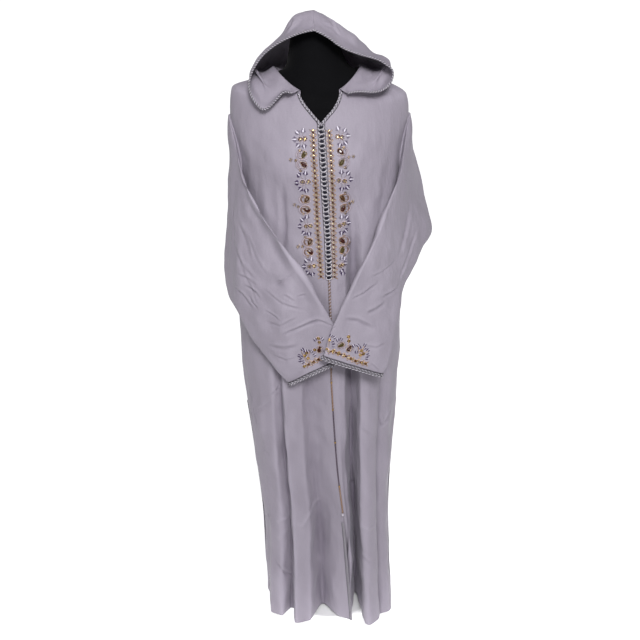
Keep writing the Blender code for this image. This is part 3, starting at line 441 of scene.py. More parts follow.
# one row per fold: angle from the centre front, its place at the hem, and how far up it reaches
skirtFolds = {
    "rightSide": (-90, -0.175, -0.068, 1.0), "rightSideFront": (-76, -0.177, -0.086, 1.0),
    "rightSideBow": (-62, -0.175, -0.104, 1.0), "rightSideTurn": (-49, -0.172, -0.118, 1.0),
    "rightCorner": (-37, -0.167, -0.134, 1.0), "rightOuterRidge": (-32, -0.142, -0.149, 1.0),
    "rightOuterCleft": (-27.5, -0.112, -0.116, 0.85), "rightBroadEdge": (-24, -0.104, -0.178, 1.0),
    "rightBroadRidge": (-13, -0.062, -0.172, 1.0), "rightSoftValley": (-7, -0.027, -0.096, 0.38),
    "rightCentreRise": (-3, 0.015, -0.150, 0.6), "centreFront": (0, 0.051, -0.169, 1.0),
    "leftStripEdge": (11, 0.056, -0.154, 1.0), "leftDeepValley": (15.5, 0.068, -0.054, 1.3),
    "leftRidgeEdge": (24, 0.090, -0.188, 1.0), "leftRidge": (30, 0.104, -0.194, 1.0),
    "leftFarEdge": (37, 0.130, -0.170, 1.0), "leftSideValley": (42, 0.134, -0.150, 0.9),
    "leftCorner": (52, 0.160, -0.140, 1.0), "leftSideTurn": (64, 0.166, -0.118, 1.0),
    "leftSideFront": (77, 0.169, -0.096, 1.0), "leftSide": (90, 0.169, -0.074, 1.0),
    "backLeftRidge": (104, 0.174, -0.024, 1.0), "backLeftValley": (118, 0.140, 0.036, 0.9),
    "backLeftFold": (132, 0.150, 0.110, 1.0), "backLeftCleft": (148, 0.080, 0.082, 0.8),
    "backMidLeft": (162, 0.056, 0.152, 1.0), "backCentre": (180, 0.004, 0.092, 0.8),
    "backMidRight": (199, -0.060, 0.154, 1.0), "backRightCleft": (213, -0.090, 0.084, 0.9),
    "backRightFold": (228, -0.150, 0.112, 1.0), "backRightValley": (243, -0.146, 0.030, 0.9),
    "backRightRidge": (256, -0.186, -0.020, 1.0),
}
# below a slit's top an edge leaves the seam: its angle, how far round it is felt, top, shift at the hem
slits = {
    "front_right": [(0, 14, cloth["frontSlitTop"], 0.004, -0.004),
                    (-90, 22, cloth["sideSlitTop"], 0.003, -0.010)],
    "front_left": [(0, 14, cloth["frontSlitTop"], -0.045, 0.100),
                   (90, 22, cloth["sideSlitTop"], -0.003, -0.010)],
    "back": [(90, 22, cloth["sideSlitTop"], 0.005, 0.010), (270, 22, cloth["sideSlitTop"], -0.005, 0.010)],
}


def sectionRing(value, around):
    sine, cosine = np.sin(np.radians(around)), np.cos(np.radians(around))
    power = 2.0 / value["squareness"]
    depth = np.where(cosine > 0, value["frontDepth"], value["backDepth"])
    x = value["middleX"] + value["halfWidth"] * np.sign(sine) * np.abs(sine) ** power
    y = -depth * np.sign(cosine) * np.abs(cosine) ** power
    z = value["sideZ"] + (np.where(cosine > 0, value["frontZ"], value["backZ"])
                          - value["sideZ"]) * cosine ** 2 - value["lean"] * x
    return np.stack([x, y, z], axis=-1)


def bodyValues(level):
    table = np.array(list(bodySections.values()), float)
    return dict(zip(bodyColumns, through(np.arange(len(table)), table, level)))


def plainRing(level, around):
    value = bodyValues(level)
    points = sectionRing(value, around)
    points[..., 0] += value["seamX"] * np.clip(np.cos(np.radians(around)), 0, 1) ** 2
    return points


def foldTable():
    rows = np.array(list(skirtFolds.values()), float)
    shift = rows[:, 1:3] - plainRing(0.0, rows[:, 0])[:, :2]
    return (np.r_[rows[-3:, 0] - 360, rows[:, 0], rows[:3, 0] + 360],
            np.vstack([shift[-3:], shift, shift[:3]]), np.r_[rows[-3:, 3], rows[:, 3], rows[:3, 3]])


foldAround, foldShift, foldReach = foldTable()


def bodyRing(level, around, panel=None):
    around = np.asarray(around, float)
    points = plainRing(level, around)
    z = points[..., 2]
    drop = np.clip((cloth["foldTopZ"] - z.mean()) / (cloth["foldTopZ"] - cloth["hemZ"]), 0.0, 1.0)
    if drop > 0:
        kept = drop ** (1.15 / foldReach)
        turned = np.where(around > 265, around - 360, around)
        points[..., :2] += through(foldAround, foldShift * kept[:, None], turned)
    for edge, feltOver, topZ, shiftX, shiftY in slits.get(panel, []):
        near = ease(1 - np.abs(around - edge) / feltOver)
        openBy = ease((topZ - z) / (topZ - cloth["hemZ"]))
        points[..., 0] += shiftX * near * openBy ** 2
        points[..., 1] += shiftY * near * openBy
    return points


def bodyNormal(level, around, panel=None):
    along = (bodyRing(min(level + 0.01, neckline), around, panel)
             - bodyRing(max(level - 0.01, 0.0), around, panel))
    about = (bodyRing(level, np.asarray(around) + 0.25, panel)
             - bodyRing(level, np.asarray(around) - 0.25, panel))
    return unit(np.cross(about, along))


def armholeHalfAngle(level):
    across = (np.asarray(level) - (underarm + neckPoint) / 2) / ((neckPoint - underarm) / 2)
    return cloth["armholeAngle"] * np.sqrt(np.clip(1 - across ** 2, 0.0, 1.0))


def neckHalfAngle(level):
    value, low, high = bodyValues(level), bodyValues(neckPoint), bodyValues(neckline)
    up = np.clip((value["frontZ"] - low["frontZ"]) / (high["frontZ"] - low["frontZ"]), 0.0, 1.0)
    return np.degrees(np.arcsin(cloth["neckHalf"] * up / value["halfWidth"]))


def armholeLevels(count):
    return (underarm + neckPoint) / 2 - np.cos(np.linspace(0, np.pi, count)) * (neckPoint - underarm) / 2


def sampleBody():
    around = np.arange(-180, 180, 2.0)
    levels = np.linspace(3, neckline, 150)
    points = np.array([bodyRing(level, around) for level in levels])
    normals = np.array([bodyNormal(level, around) for level in levels])
    return points.reshape(-1, 3), normals.reshape(-1, 3)


def keepOff(points, clear, samples):
    surface, normals = samples
    flat = points.reshape(-1, 3).copy()
    clear = np.broadcast_to(clear, points.shape[:-1]).reshape(-1)
    for index, point in enumerate(flat):
        nearest = np.argmin(((surface - point) ** 2).sum(axis=1))
        height = (point - surface[nearest]) @ normals[nearest]
        if height < clear[index]:
            flat[index] += normals[nearest] * (clear[index] - height)
    return flat.reshape(points.shape)


# creases, in millimetres: kind, half width, depth and a line of the front view (x, z)
# half width and depth of each kind, as shares of those that its row gives
creaseKinds = {"fold": (0.62, 1.45), "ridge": (1.3, 1.1), "trough": (1.5, 1.5)}
creases = {
    "sleeve_right": [
        ("fold", 5, 1.6, (-124, 992), (-97, 1008), (-67, 1027)),
        ("fold", 5, 1.8, (-208, 1015), (-176, 1004), (-158, 989)),
        ("fold", 5, 2.2, (-193, 992), (-165, 976), (-152, 954)),
        ("fold", 4, 1.8, (-181, 966), (-174, 948), (-160, 933)),
        ("fold", 6, 1.8, (-224, 982), (-197, 965), (-173, 928)),
        ("fold", 4, 1.6, (-145, 935), (-118, 921), (-103, 910)),
        ("fold", 4, 1.6, (-95, 976), (-80, 968), (-68, 959)),
        ("fold", 3, 1.2, (-66, 970), (-42, 976)),
        ("fold", 6, 2.2, (-111, 874), (-59, 897), (-17, 912), (12, 905)),
        ("fold", 10, 1.8, (-144, 844), (-97, 843), (-61, 853)),
        ("ridge", 9, 1.6, (-169, 893), (-152, 922), (-136, 945)),
        ("fold", 3, 1.4, (-12, 912), (15, 899), (24, 891)),
        ("ridge", 9, 1.2, (-151, 938), (-112, 937), (-70, 941)),
        ("ridge", 5, 1.2, (-207, 1299), (-203, 1207), (-197, 1115), (-198, 1040)),
        ("fold", 7, 1.5, (-201, 1149), (-182, 1098), (-169, 1044)),
        ("ridge", 8, 1.2, (-182, 1196), (-169, 1156), (-152, 1106), (-144, 1047)),
        ("fold", 7, 1.4, (-220, 1096), (-193, 1041), (-156, 994)),
        ("ridge", 2.2, 1.1, (-183, 1213), (-150, 1159), (-102, 1092), (-56, 1022), (-24, 968), (10, 910)),
        ("fold", 5, 1.6, (-205, 1070), (-187, 1021), (-170, 975), (-160, 936)),
        ("fold", 5, 1.2, (-187, 1130), (-160, 1060), (-128, 1010)),
        ("fold", 5, 1.2, (-150, 990), (-100, 955), (-40, 935)),
        ("fold", 5, 1.4, (-150, 905), (-105, 900), (-60, 925)),
        ("fold", 5, 1.2, (-130, 820), (-95, 812), (-70, 822)),
        ("fold", 5, 1.4, (-215, 1180), (-212, 1120), (-218, 1060)),
    ],
    "sleeve_left": [
        ("fold", 6, 2.0, (135, 958), (160, 965), (184, 974)),
        ("fold", 8, 1.8, (95, 924), (120, 932), (148, 946)),
        ("fold", 8, 1.8, (44, 919), (77, 912), (104, 896), (119, 882)),
        ("fold", 3.5, 1.8, (105, 809), (122, 789), (131, 771)),
        ("ridge", 9, 1.2, (76, 864), (106, 872), (137, 882)),
        ("ridge", 8, 1.4, (154, 920), (150, 879), (152, 835)),
        ("fold", 3, 1.6, (17, 896), (25, 902)),
        ("ridge", 8, 1.2, (195, 1287), (196, 1198), (185, 1107)),
        ("fold", 8, 1.5, (220, 1168), (207, 1102), (179, 1033)),
        ("ridge", 9, 1.4, (163, 1089), (143, 1040), (113, 988)),
        ("ridge", 2.2, 1.1, (186, 1218), (153, 1158), (124, 1098), (94, 1040), (64, 980), (32, 918)),
        ("fold", 5, 1.4, (240, 1110), (215, 1060), (195, 1010), (182, 960)),
        ("fold", 5, 1.2, (60, 962), (95, 975), (130, 998)),
        ("fold", 5, 1.2, (85, 850), (120, 842), (148, 850)),
        ("fold", 5, 1.0, (105, 1010), (140, 1020), (175, 1040)),
    ],
    "front": [
        ("trough", 9, 1.5, (121, 1295), (101, 1267), (96, 1229), (103, 1130)),
        ("trough", 8, 1.4, (153, 1270), (148, 1214), (141, 1140)),
        ("fold", 4, 1.2, (73, 1207), (89, 1164), (108, 1116)),
        ("fold", 2.5, 1.2, (82, 1120), (96, 1108)),
        ("ridge", 6, 1.6, (123, 1249), (133, 1212), (138, 1169)),
        ("trough", 9, 1.5, (-150, 1285), (-148, 1220), (-141, 1110)),
        ("trough", 9, 1.1, (-118, 1285), (-116, 1210), (-120, 1090)),
        ("trough", 5, 2.4, (-92, 1243), (-90, 1178), (-91, 1117), (-91, 1055)),
        ("ridge", 6, 1.6, (-104, 1233), (-105, 1178), (-102, 1121)),
        ("trough", 6, 2.6, (70, 1107), (72, 1034), (71, 958)),
        ("ridge", 6, 1.6, (47, 1068), (49, 1020), (46, 972)),
        ("ridge", 3, 2.0, (-148, 327), (-129, 335), (-107, 339)),
        ("ridge", 3, 2.6, (-102, 338), (-74, 335), (-56, 360), (-36, 385), (-16, 392)),
        ("ridge", 3, 2.2, (77, 339), (97, 322), (130, 318)),
        ("fold", 6, 1.2, (44, 439), (70, 400), (88, 378)),
        ("fold", 5, 1.2, (85, 618), (116, 586)),
        ("fold", 5, 2.4, (133, 639), (142, 601), (156, 616), (168, 647)),
        ("fold", 5, 3.0, (-156, 209), (-132, 178), (-107, 135)),
        ("ridge", 6, 1.2, (-146, 273), (-122, 297), (-107, 299)),
        ("fold", 4, 1.8, (-148, 698), (-132, 709), (-107, 733)),
        ("ridge", 3, 1.4, (-133, 717), (-128, 705), (-121, 709)),
        ("fold", 4, 2.0, (-205, 700), (-192, 673), (-197, 635), (-187, 602)),
        ("fold", 3, 1.8, (-190, 657), (-183, 629), (-175, 597)),
        ("fold", 4, 1.6, (-171, 546), (-163, 532), (-150, 522)),
        ("fold", 4, 1.4, (-169, 465), (-160, 459), (-155, 436)),
        ("fold", 4, 1.4, (-171, 339), (-164, 332), (-157, 326)),
        ("fold", 5, 1.6, (-182, 645), (-158, 666), (-142, 681)),
        ("ridge", 6, 1.2, (-192, 563), (-166, 594), (-148, 607)),
        ("ridge", 8, 1.6, (-93, 680), (-86, 625), (-82, 560)),
        ("trough", 9, 1.4, (-53, 689), (-51, 604), (-55, 510)),
        ("ridge", 8, 1.6, (-34, 219), (-26, 157), (-16, 118)),
        ("fold", 8, 1.4, (59, 250), (84, 240), (114, 217)),
    ],
    "back": [
        ("fold", 8, 1.8, (-130, 1330), (-95, 1290), (-50, 1262)),
        ("fold", 8, 1.6, (135, 1335), (100, 1280), (70, 1220)),
        ("trough", 9, 1.8, (-150, 1240), (-140, 1160), (-146, 1080)),
        ("trough", 9, 1.6, (148, 1250), (139, 1170), (142, 1100)),
        ("ridge", 10, 1.8, (-60, 1130), (-68, 1020), (-64, 900)),
        ("ridge", 10, 1.6, (48, 1100), (55, 990), (50, 880)),
        ("fold", 5, 1.6, (-120, 760), (-80, 742), (-40, 752)),
        ("fold", 5, 1.8, (60, 640), (100, 622), (140, 640)),
        ("fold", 5, 2.0, (-140, 420), (-100, 400), (-70, 412)),
        ("ridge", 4, 1.8, (30, 330), (75, 318), (110, 336)),
        ("trough", 9, 1.6, (-20, 560), (-28, 440), (-22, 300)),
    ],
    "hood_right": [
        ("ridge", 4, 1.6, (-145, 1426), (-111, 1425), (-77, 1431)),
        ("ridge", 5, 2.0, (-24.2, 1582.3), (-6.4, 1569.2), (5, 1571.1)),
        ("fold", 6, 2.2, (-51.2, 1585.1), (-58.6, 1570.6), (-77.5, 1552.1)),
        ("fold", 4, 1.6, (2.5, 1564.8), (-20.3, 1561.2), (-41, 1553.3)),
        ("ridge", 7, 1.8, (-72.9, 1554.1), (-101.5, 1527.2), (-128.1, 1497.8)),
        ("trough", 4, 1.6, (-30.7, 1588.7), (-40.4, 1572.2), (-61.3, 1558)),
    ],
    "hood_left": [
        ("ridge", 4, 1.6, (72, 1438), (103, 1444), (135, 1454)),
        ("ridge", 7, 2.4, (30.3, 1589.3), (63.7, 1552.7), (102.1, 1517.6)),
        ("trough", 5, 2.0, (79.5, 1543.8), (115.9, 1521.5), (157.1, 1503.2)),
        ("fold", 4, 1.6, (11.9, 1575.1), (38.9, 1563.9), (54.4, 1542.3)),
        ("fold", 4, 1.5, (21.3, 1591.6), (36.9, 1578.6), (43.3, 1557.4)),
    ],
}


def creaseHeights(points, normals, lines, facing=(0.0, -0.93, 0.37)):
    # how far each point moves out, only where the cloth faces that way
    flat = points[..., [0, 2]].reshape(-1, 2)
    total = np.zeros(len(flat))
    for kind, halfWidth, depth, *line in lines:
        wider, deeper = creaseKinds[kind]
        line, halfWidth, depth = np.array(line) / 1000, halfWidth * wider / 1000, depth * deeper / 1000
        lengths = np.linalg.norm(np.diff(line, axis=0), axis=1)
        best, side, along = np.full(len(flat), 1e9), np.zeros(len(flat)), np.zeros(len(flat))
        run = 0.0
        for start, end, length in zip(line, line[1:], lengths):
            heading = (end - start) / length
            share = np.clip((flat - start) @ heading, 0, length)
            off = flat - start - share[:, None] * heading
            far = np.linalg.norm(off, axis=1)
            closer = far < best
            best = np.where(closer, far, best)
            side = np.where(closer, np.sign(heading[0] * off[:, 1] - heading[1] * off[:, 0]), side)
            along = np.where(closer, run + share, along)
            run += length
        share = along / run
        fade = ease(share / 0.3) * ease((1 - share) / 0.3)
        across = best * side / halfWidth
        ridge = np.exp(-across ** 2)
        profile = {"ridge": ridge, "trough": -ridge,
                   "fold": 0.8 * np.exp(-(across - 0.8) ** 2) - np.exp(-(across + 0.6) ** 2)}[kind]
        total += depth * fade * profile
    return total.reshape(points.shape[:-1]) * ease((normals @ np.array(facing) - 0.05) / 0.3)


ripple = {"seed": 31, "waves": 26, "longest": 0.17, "shortest": 0.030, "height": 0.0017, "upright": 0.55}


def rippleHeights(points, height=1.0):
    # slight unevenness of hanging cloth, made of many faint waves
    draw = np.random.default_rng(ripple["seed"])
    total = np.zeros(points.shape[:-1])
    for _ in range(ripple["waves"]):
        length = ripple["shortest"] * (ripple["longest"] / ripple["shortest"]) ** draw.random()
        heading = unit(draw.normal(size=3) * [1.0, 1.0, ripple["upright"]])
        phase = draw.random() * 2 * np.pi
        total += np.sin(points @ heading * 2 * np.pi / length + phase) * (length / ripple["longest"]) ** 0.7
    return total * ripple["height"] * height * 2 / np.sqrt(ripple["waves"])


# meshes
def addPiece(mesh, replaced=(), material=None):
    piece = linked(mesh.name, mesh)
    if material is not None:
        mesh.materials.append(material)
    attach(piece, "root")
    if replaced:
        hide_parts(*replaced)
    return piece


def dipDepths(outer, normals, rounds=26):
    # how far each point lies below the cloth around it, in metres; the cloth finish paints shade where it is
    # deep and a highlight where it stands out
    around = outer.copy()
    for _ in range(rounds):
        around[1:-1] = (around[:-2] + 2 * around[1:-1] + around[2:]) / 4
        around[:, 1:-1] = (around[:, :-2] + 2 * around[:, 1:-1] + around[:, 2:]) / 4
    return np.sum((around - outer) * normals, axis=-1)


def gridQuads(rows, columns, closed):
    row, col = np.meshgrid(np.arange(rows - 1), np.arange(columns if closed else columns - 1), indexing="ij")
    near, beside = row * columns + col, row * columns + (col + 1) % columns
    return np.stack([near, beside, beside + columns, near + columns], axis=-1).reshape(-1, 4)


def wallFaces(rows, columns, closed):
    # faces of a thin wall on a grid of outer points; its inner layer takes every other one of them
    down = np.unique(np.r_[np.arange(0, rows, 2), rows - 1])
    over = np.arange(0, columns, 2) if closed else np.unique(np.r_[np.arange(0, columns, 2), columns - 1])
    picked = (down[:, None] * columns + over).ravel()
    count, wide = rows * columns, len(over)
    stops = np.r_[over, columns] if closed else over
    path, innerPath = np.arange(stops[-1] + 1) % columns, np.arange(len(stops)) % wide
    edges = [(path, stops, innerPath, 1),
             (path + (rows - 1) * columns, stops, innerPath + (len(down) - 1) * wide, -1)]
    if not closed:
        fall, innerFall = np.arange(rows) * columns, np.arange(len(down)) * wide
        edges += [(fall, down, innerFall, -1), (fall + columns - 1, down, innerFall + wide - 1, 1)]
    rims = []
    for outside, steps, inside, sign in edges:
        for at in range(len(steps) - 1):
            chain, ends = outside[steps[at]:steps[at + 1] + 1], inside[at:at + 2] + count
            rims.append([*chain[::-1], *ends] if sign > 0 else [*chain, *ends[::-1]])
    inner = gridQuads(len(down), wide, closed)[:, ::-1] + count
    return picked, gridQuads(rows, columns, closed), inner, [[int(corner) for corner in rim] for rim in rims]


def addAttribute(mesh, key, values, kind="FLOAT"):
    field = "value" if kind == "FLOAT" else "vector"
    mesh.attributes.new(key, kind, "POINT").data.foreach_set(field, np.array(values, np.float32).ravel())


def clothWall(name, outer, normals, closed):
    # a grid of points closed into a thin wall, with the flat cut's map in metres and each point's dip, which
    # the cloth finish turns into painted shade and painted highlight
    rows, columns = outer.shape[:2]
    picked, quads, inside, rims = wallFaces(rows, columns, closed)
    inner = (outer - normals * cloth["wall"]).reshape(-1, 3)[picked]
    faces = quads.tolist() + inside.tolist() + rims
    mesh = bpy.data.meshes.new(name + "_cloth")
    mesh.from_pydata(np.concatenate([outer.reshape(-1, 3), inner]).tolist(), [], faces)
    solid = bmesh.new()
    solid.from_mesh(mesh)
    if solid.calc_volume(signed=True) < 0:
        mesh.flip_normals()
    solid.free()
    mesh.polygons.foreach_set("use_smooth", np.arange(len(faces)) < len(faces) - len(rims))
    across, along = runs(outer, 1), runs(outer)
    flat = np.stack([across, along], axis=-1).reshape(-1, 2)
    flat = np.concatenate([flat, flat[picked]])
    corner = np.empty(len(mesh.loops), np.int32)
    mesh.loops.foreach_get("vertex_index", corner)
    mesh.uv_layers.new(name="cut").data.foreach_set("uv", flat[corner].astype(np.float32).ravel())
    dip = dipDepths(outer, normals).ravel()
    addAttribute(mesh, "dip", np.r_[dip, dip[picked]])
    mesh.validate()
    piece = addPiece(mesh, [name], finishes["cloth"])
    quad = outer.reshape(-1, 3)[quads]
    area = 0.5 * np.linalg.norm(np.cross(quad[:, 2] - quad[:, 0], quad[:, 3] - quad[:, 1]), axis=1).sum()
    print(f"  {mesh.name}: {len(faces)} faces, {area:.3f} m2, widest {across[:, -1].max():.3f},"
          f" longest {along[-1].max():.3f}")
    return piece, area


# fronts and back
panelCuts = {
    # columns of points, and the angles its edges have at the hem
    "front_right": {"columns": 114, "from": -90, "to": 0},
    "front_left": {"columns": 114, "from": 0, "to": 90},
    "back": {"columns": 186, "from": 90, "to": 270},
}
bodyRows = {"skirt": 244, "armhole": 45, "shoulder": 26, "backShare": 0.62, "evenShare": 0.35,
            "calmColumns": 8, "calmTopZ": 1.40, "calmFall": 0.1}
grids, pieces, areas = {}, {}, {}


def addCloth(name, points, normals, closed=False):
    grids[name] = points, normals
    pieces[name], areas[name] = clothWall(name, points, normals, closed)


def columnShares(first, last, count):
    # columns lie closer where the hem has more cloth
    fine = np.linspace(first, last, 1500)
    run = runs(bodyRing(0.0, fine))
    evenly = bodyRows["evenShare"]
    mixed = evenly * (fine - first) / (last - first) + (1 - evenly) * run / run[-1]
    return np.interp(np.linspace(0, 1, count), mixed, (fine - first) / (last - first))


def bodyLevels(share=1.0):
    fine = np.linspace(0, underarm, 600)
    heights = np.array([bodyValues(level)["sideZ"] for level in fine])
    skirt = np.interp(np.linspace(heights[0], heights[-1], int(bodyRows["skirt"] * share)), heights, fine)
    shoulder = np.linspace(neckPoint, neckline, int(bodyRows["shoulder"] * share) + 1)
    return np.r_[skirt[:-1], armholeLevels(int(bodyRows["armhole"] * share)), shoulder[1:]]


def makePanels():
    def side(level):
        return 90 - armholeHalfAngle(level)

    spans = {"front_right": (lambda level: -side(level), lambda level: -neckHalfAngle(level)),
             "front_left": (neckHalfAngle, side),
             "back": (lambda level: 180 - side(level), lambda level: 180 + side(level))}
    for name, cut in panelCuts.items():
        start, stop = spans[name]
        shares = columnShares(cut["from"], cut["to"], cut["columns"])
        levels = bodyLevels(bodyRows["backShare"] if name == "back" else 1.0)
        points = np.array([bodyRing(level, start(level) + (stop(level) - start(level)) * shares, name)
                           for level in levels])
        for at, beside in ((np.s_[:, 0], np.s_[:, 1]), (np.s_[:, -1], np.s_[:, -2]), (np.s_[-1], np.s_[-2])):
            points[at] += unit(points[beside] - points[at]) * cloth["seamGap"] / 2
        normals = gridNormals(points)
        fromEdge = np.minimum(np.arange(cut["columns"]), np.arange(cut["columns"])[::-1])[None, :]
        calm = (ease(fromEdge / bodyRows["calmColumns"])
                * ease((bodyRows["calmTopZ"] - points[..., 2]) / bodyRows["calmFall"]))
        heights = rippleHeights(points) * calm
        if name == "back":
            heights += creaseHeights(points, normals, creases["back"], (0.0, 1.0, 0.0)) * calm
        else:
            heights += creaseHeights(points, normals, creases["front"])
        points = points + normals * heights[..., None]
        normals = gridNormals(points)
        addCloth(name, points, normals)


makePanels()
print("fronts and back made")

# sleeves: the two fold edges of the flattened tube, the way its outer layer faces, its tilt, its
# half thickness and the depth it keeps where it lies on the body
sleeveColumns = ("along", "innerX", "innerY", "innerZ", "outerX", "outerY", "outerZ", "facing", "tilt",
                 "halfThick", "lyingDepth")
sleeves = {
    "right": [
        (0.00, -0.205, -0.062, 1.272, -0.205, 0.062, 1.272, 90, 84, 0.098, 0.001),
        (0.06, -0.194, -0.068, 1.262, -0.212, 0.070, 1.258, 90, 82, 0.090, 0.003),
        (0.17, -0.176, -0.104, 1.216, -0.222, 0.078, 1.204, 86, 76, 0.064, 0.016),
        (0.29, -0.143, -0.142, 1.162, -0.234, 0.072, 1.118, 70, 60, 0.034, 0.026),
        (0.41, -0.096, -0.172, 1.096, -0.240, 0.046, 1.042, 58, 34, 0.020, 0.028),
        (0.55, -0.050, -0.186, 1.026, -0.232, -0.010, 0.971, 44, 8, 0.017, 0.030),
        (0.68, -0.018, -0.190, 0.972, -0.195, -0.084, 0.912, 30, 0, 0.016, 0.028),
        (0.81, 0.016, -0.192, 0.914, -0.168, -0.134, 0.838, 18, 0, 0.013, 0.024),
        (0.92, 0.037, -0.190, 0.852, -0.118, -0.166, 0.781, 8, 2, 0.010, 0.018),
        (1.00, 0.048, -0.190, 0.808, -0.086, -0.182, 0.743, 3, 4, 0.0085, 0.016),
    ],
    "left": [
        (0.00, 0.205, -0.062, 1.272, 0.205, 0.062, 1.272, 90, 84, 0.098, 0.001),
        (0.06, 0.194, -0.070, 1.262, 0.214, 0.066, 1.260, 90, 82, 0.090, 0.002),
        (0.17, 0.178, -0.104, 1.222, 0.236, 0.064, 1.218, 84, 74, 0.064, 0.015),
        (0.29, 0.146, -0.144, 1.160, 0.262, 0.050, 1.150, 66, 56, 0.034, 0.022),
        (0.41, 0.118, -0.172, 1.100, 0.279, 0.014, 1.087, 52, 30, 0.020, 0.024),
        (0.54, 0.088, -0.190, 1.042, 0.247, -0.046, 1.050, 40, 8, 0.017, 0.026),
        (0.67, 0.058, -0.198, 0.982, 0.202, -0.104, 0.974, 30, 0, 0.015, 0.026),
        (0.81, 0.026, -0.208, 0.920, 0.178, -0.152, 0.884, 20, 0, 0.012, 0.020),
        (0.92, 0.003, -0.214, 0.860, 0.154, -0.188, 0.810, 10, 2, 0.010, 0.018),
        (1.00, -0.010, -0.216, 0.820, 0.131, -0.202, 0.765, 5, 4, 0.0085, 0.016),
    ],
}
sleeveSet = {"coarseAlong": 18, "rows": 224, "columns": 168, "off": 0.006, "braidFrom": 0.979,
             "cadWall": 0.0016, "outside": 0.0035, "squareness": 2.4, "ripple": 1.3,
             "calmTop": 14, "calmCuff": 10}


def armholeRing(side, offset):
    sign = 1 if side == "left" else -1
    levels = armholeLevels(12)
    half = armholeHalfAngle(levels)
    places = [(level, 90 - angle) for level, angle in zip(levels, half)]
    places += [(level, 90 + angle) for level, angle in zip(levels[-2:0:-1], half[-2:0:-1])]
    ring = np.array([bodyRing(level, sign * around) + bodyNormal(level, sign * around) * offset
                     for level, around in places])
    return ring + unit(ring.mean(axis=0) - ring) * 1.5 * cloth["seamGap"]


def sleeveSection(side, along, turn):
    table = np.array(sleeves[side])
    value = dict(zip(sleeveColumns, through(table[:, 0], table, along)))
    inner = np.array([value["innerX"], value["innerY"], value["innerZ"]])
    outer = np.array([value["outerX"], value["outerY"], value["outerZ"]])
    sign = 1 if side == "left" else -1
    facing, tilt = np.radians(value["facing"]), np.radians(value["tilt"])
    out = np.array([sign * np.sin(facing) * np.cos(tilt), -np.cos(facing) * np.cos(tilt), np.sin(tilt)])
    chord = unit(inner - outer)
    out = unit(out - chord * (out @ chord))
    across, over = (np.sign(part) * np.abs(part) ** (2.0 / sleeveSet["squareness"])
                    for part in (np.sin(np.radians(turn)), -np.cos(np.radians(turn))))
    ring = ((inner + outer) / 2 + across[:, None] * (inner - outer) / 2
            + over[:, None] * value["halfThick"] * out)
    off = sleeveSet["off"] * (ease(along / 0.12) + 1.2 * ease((along - 0.4) / 0.3))
    return ring, off + value["lyingDepth"] * (1 + over) / 2


def makeSleeves(samples):
    for side in sleeves:
        name = f"sleeve_{side}"
        first, second = armholeRing(side, -sleeveSet["cadWall"]), armholeRing(side, sleeveSet["outside"])
        turn = np.linspace(0, 360, len(first), endpoint=False)
        rings = [first, second]
        for along in np.r_[np.linspace(0, sleeveSet["braidFrom"], sleeveSet["coarseAlong"])[1:], 1.0]:
            free = ease(along / 0.15)
            ring, clear = sleeveSection(side, along, turn)
            rings.append(keepOff(second * (1 - free) + ring * free, clear, samples))
        points = refine(np.array(rings), sleeveSet["rows"])
        points = refine(points.swapaxes(0, 1), sleeveSet["columns"], closed=True).swapaxes(0, 1)
        normals = gridNormals(points, closed=True)
        if (normals * (points - points.mean(axis=1, keepdims=True))).sum() < 0:
            normals = -normals
        rows = np.arange(len(points))
        calm = (ease(rows / sleeveSet["calmTop"]) * ease(rows[::-1] / sleeveSet["calmCuff"]))[:, None]
        heights = rippleHeights(points, sleeveSet["ripple"]) + creaseHeights(points, normals, creases[name])
        heights *= calm
        points = points + normals * heights[..., None]
        fresh = gridNormals(points, closed=True)
        normals = fresh if (fresh * normals).sum() > 0 else -fresh
        addCloth(name, points, normals, closed=True)


bodySamples = sampleBody()
makeSleeves(bodySamples)
print("sleeves made")

# hood: its face edge from the neckline to the crown, the rise of the cloth behind the edge, and the
# centre back seam from the nape to the peak
hoodColumns = ("rightX", "rightY", "rightZ", "leftX", "leftY", "leftZ", "rightRise", "leftRise",
               "backY", "backZ")
hoodEdge = {
    "roll": (-0.056, -0.105, 1.424, 0.064, -0.104, 1.421, 0.000, 0.000, 0.075, 1.464),
    "floor": (-0.080, -0.109, 1.426, 0.092, -0.107, 1.424, 0.000, 0.000, 0.084, 1.464),
    "sag": (-0.103, -0.110, 1.404, 0.118, -0.104, 1.421, 0.000, 0.000, 0.094, 1.466),
    "foot": (-0.124, -0.108, 1.391, 0.145, -0.099, 1.426, 0.004, 0.006, 0.106, 1.472),
    "heel": (-0.148, -0.100, 1.413, 0.162, -0.092, 1.440, 0.024, 0.018, 0.118, 1.484),
    "tip": (-0.157, -0.092, 1.448, 0.170, -0.088, 1.463, 0.028, 0.026, 0.131, 1.504),
    "wall": (-0.134, -0.088, 1.495, 0.139, -0.086, 1.489, 0.013, 0.016, 0.140, 1.532),
    "brow": (-0.100, -0.087, 1.524, 0.099, -0.086, 1.502, 0.014, 0.030, 0.136, 1.562),
    "temple": (-0.060, -0.087, 1.544, 0.056, -0.086, 1.519, 0.040, 0.045, 0.108, 1.588),
    "crownSide": (-0.032, -0.087, 1.553, 0.020, -0.086, 1.544, 0.045, 0.048, 0.080, 1.601),
    "crown": (-0.006, -0.087, 1.557, -0.006, -0.087, 1.557, 0.044, 0.044, 0.064, 1.604),
}
hoodSet = {"stand": 0.009, "off": 0.004, "deep": 13, "up": 19, "rows": 110, "columns": 160,
           "ripple": 1.2, "calmRows": 8, "calmColumns": 20, "cordFrom": 14,
           "followsShoulder": {"roll": (0.16, 0.008), "floor": (0.34, 0.006), "sag": (0.56, 0.007),
                               "foot": (0.76, 0.010), "heel": (0.88, 0.028)}}


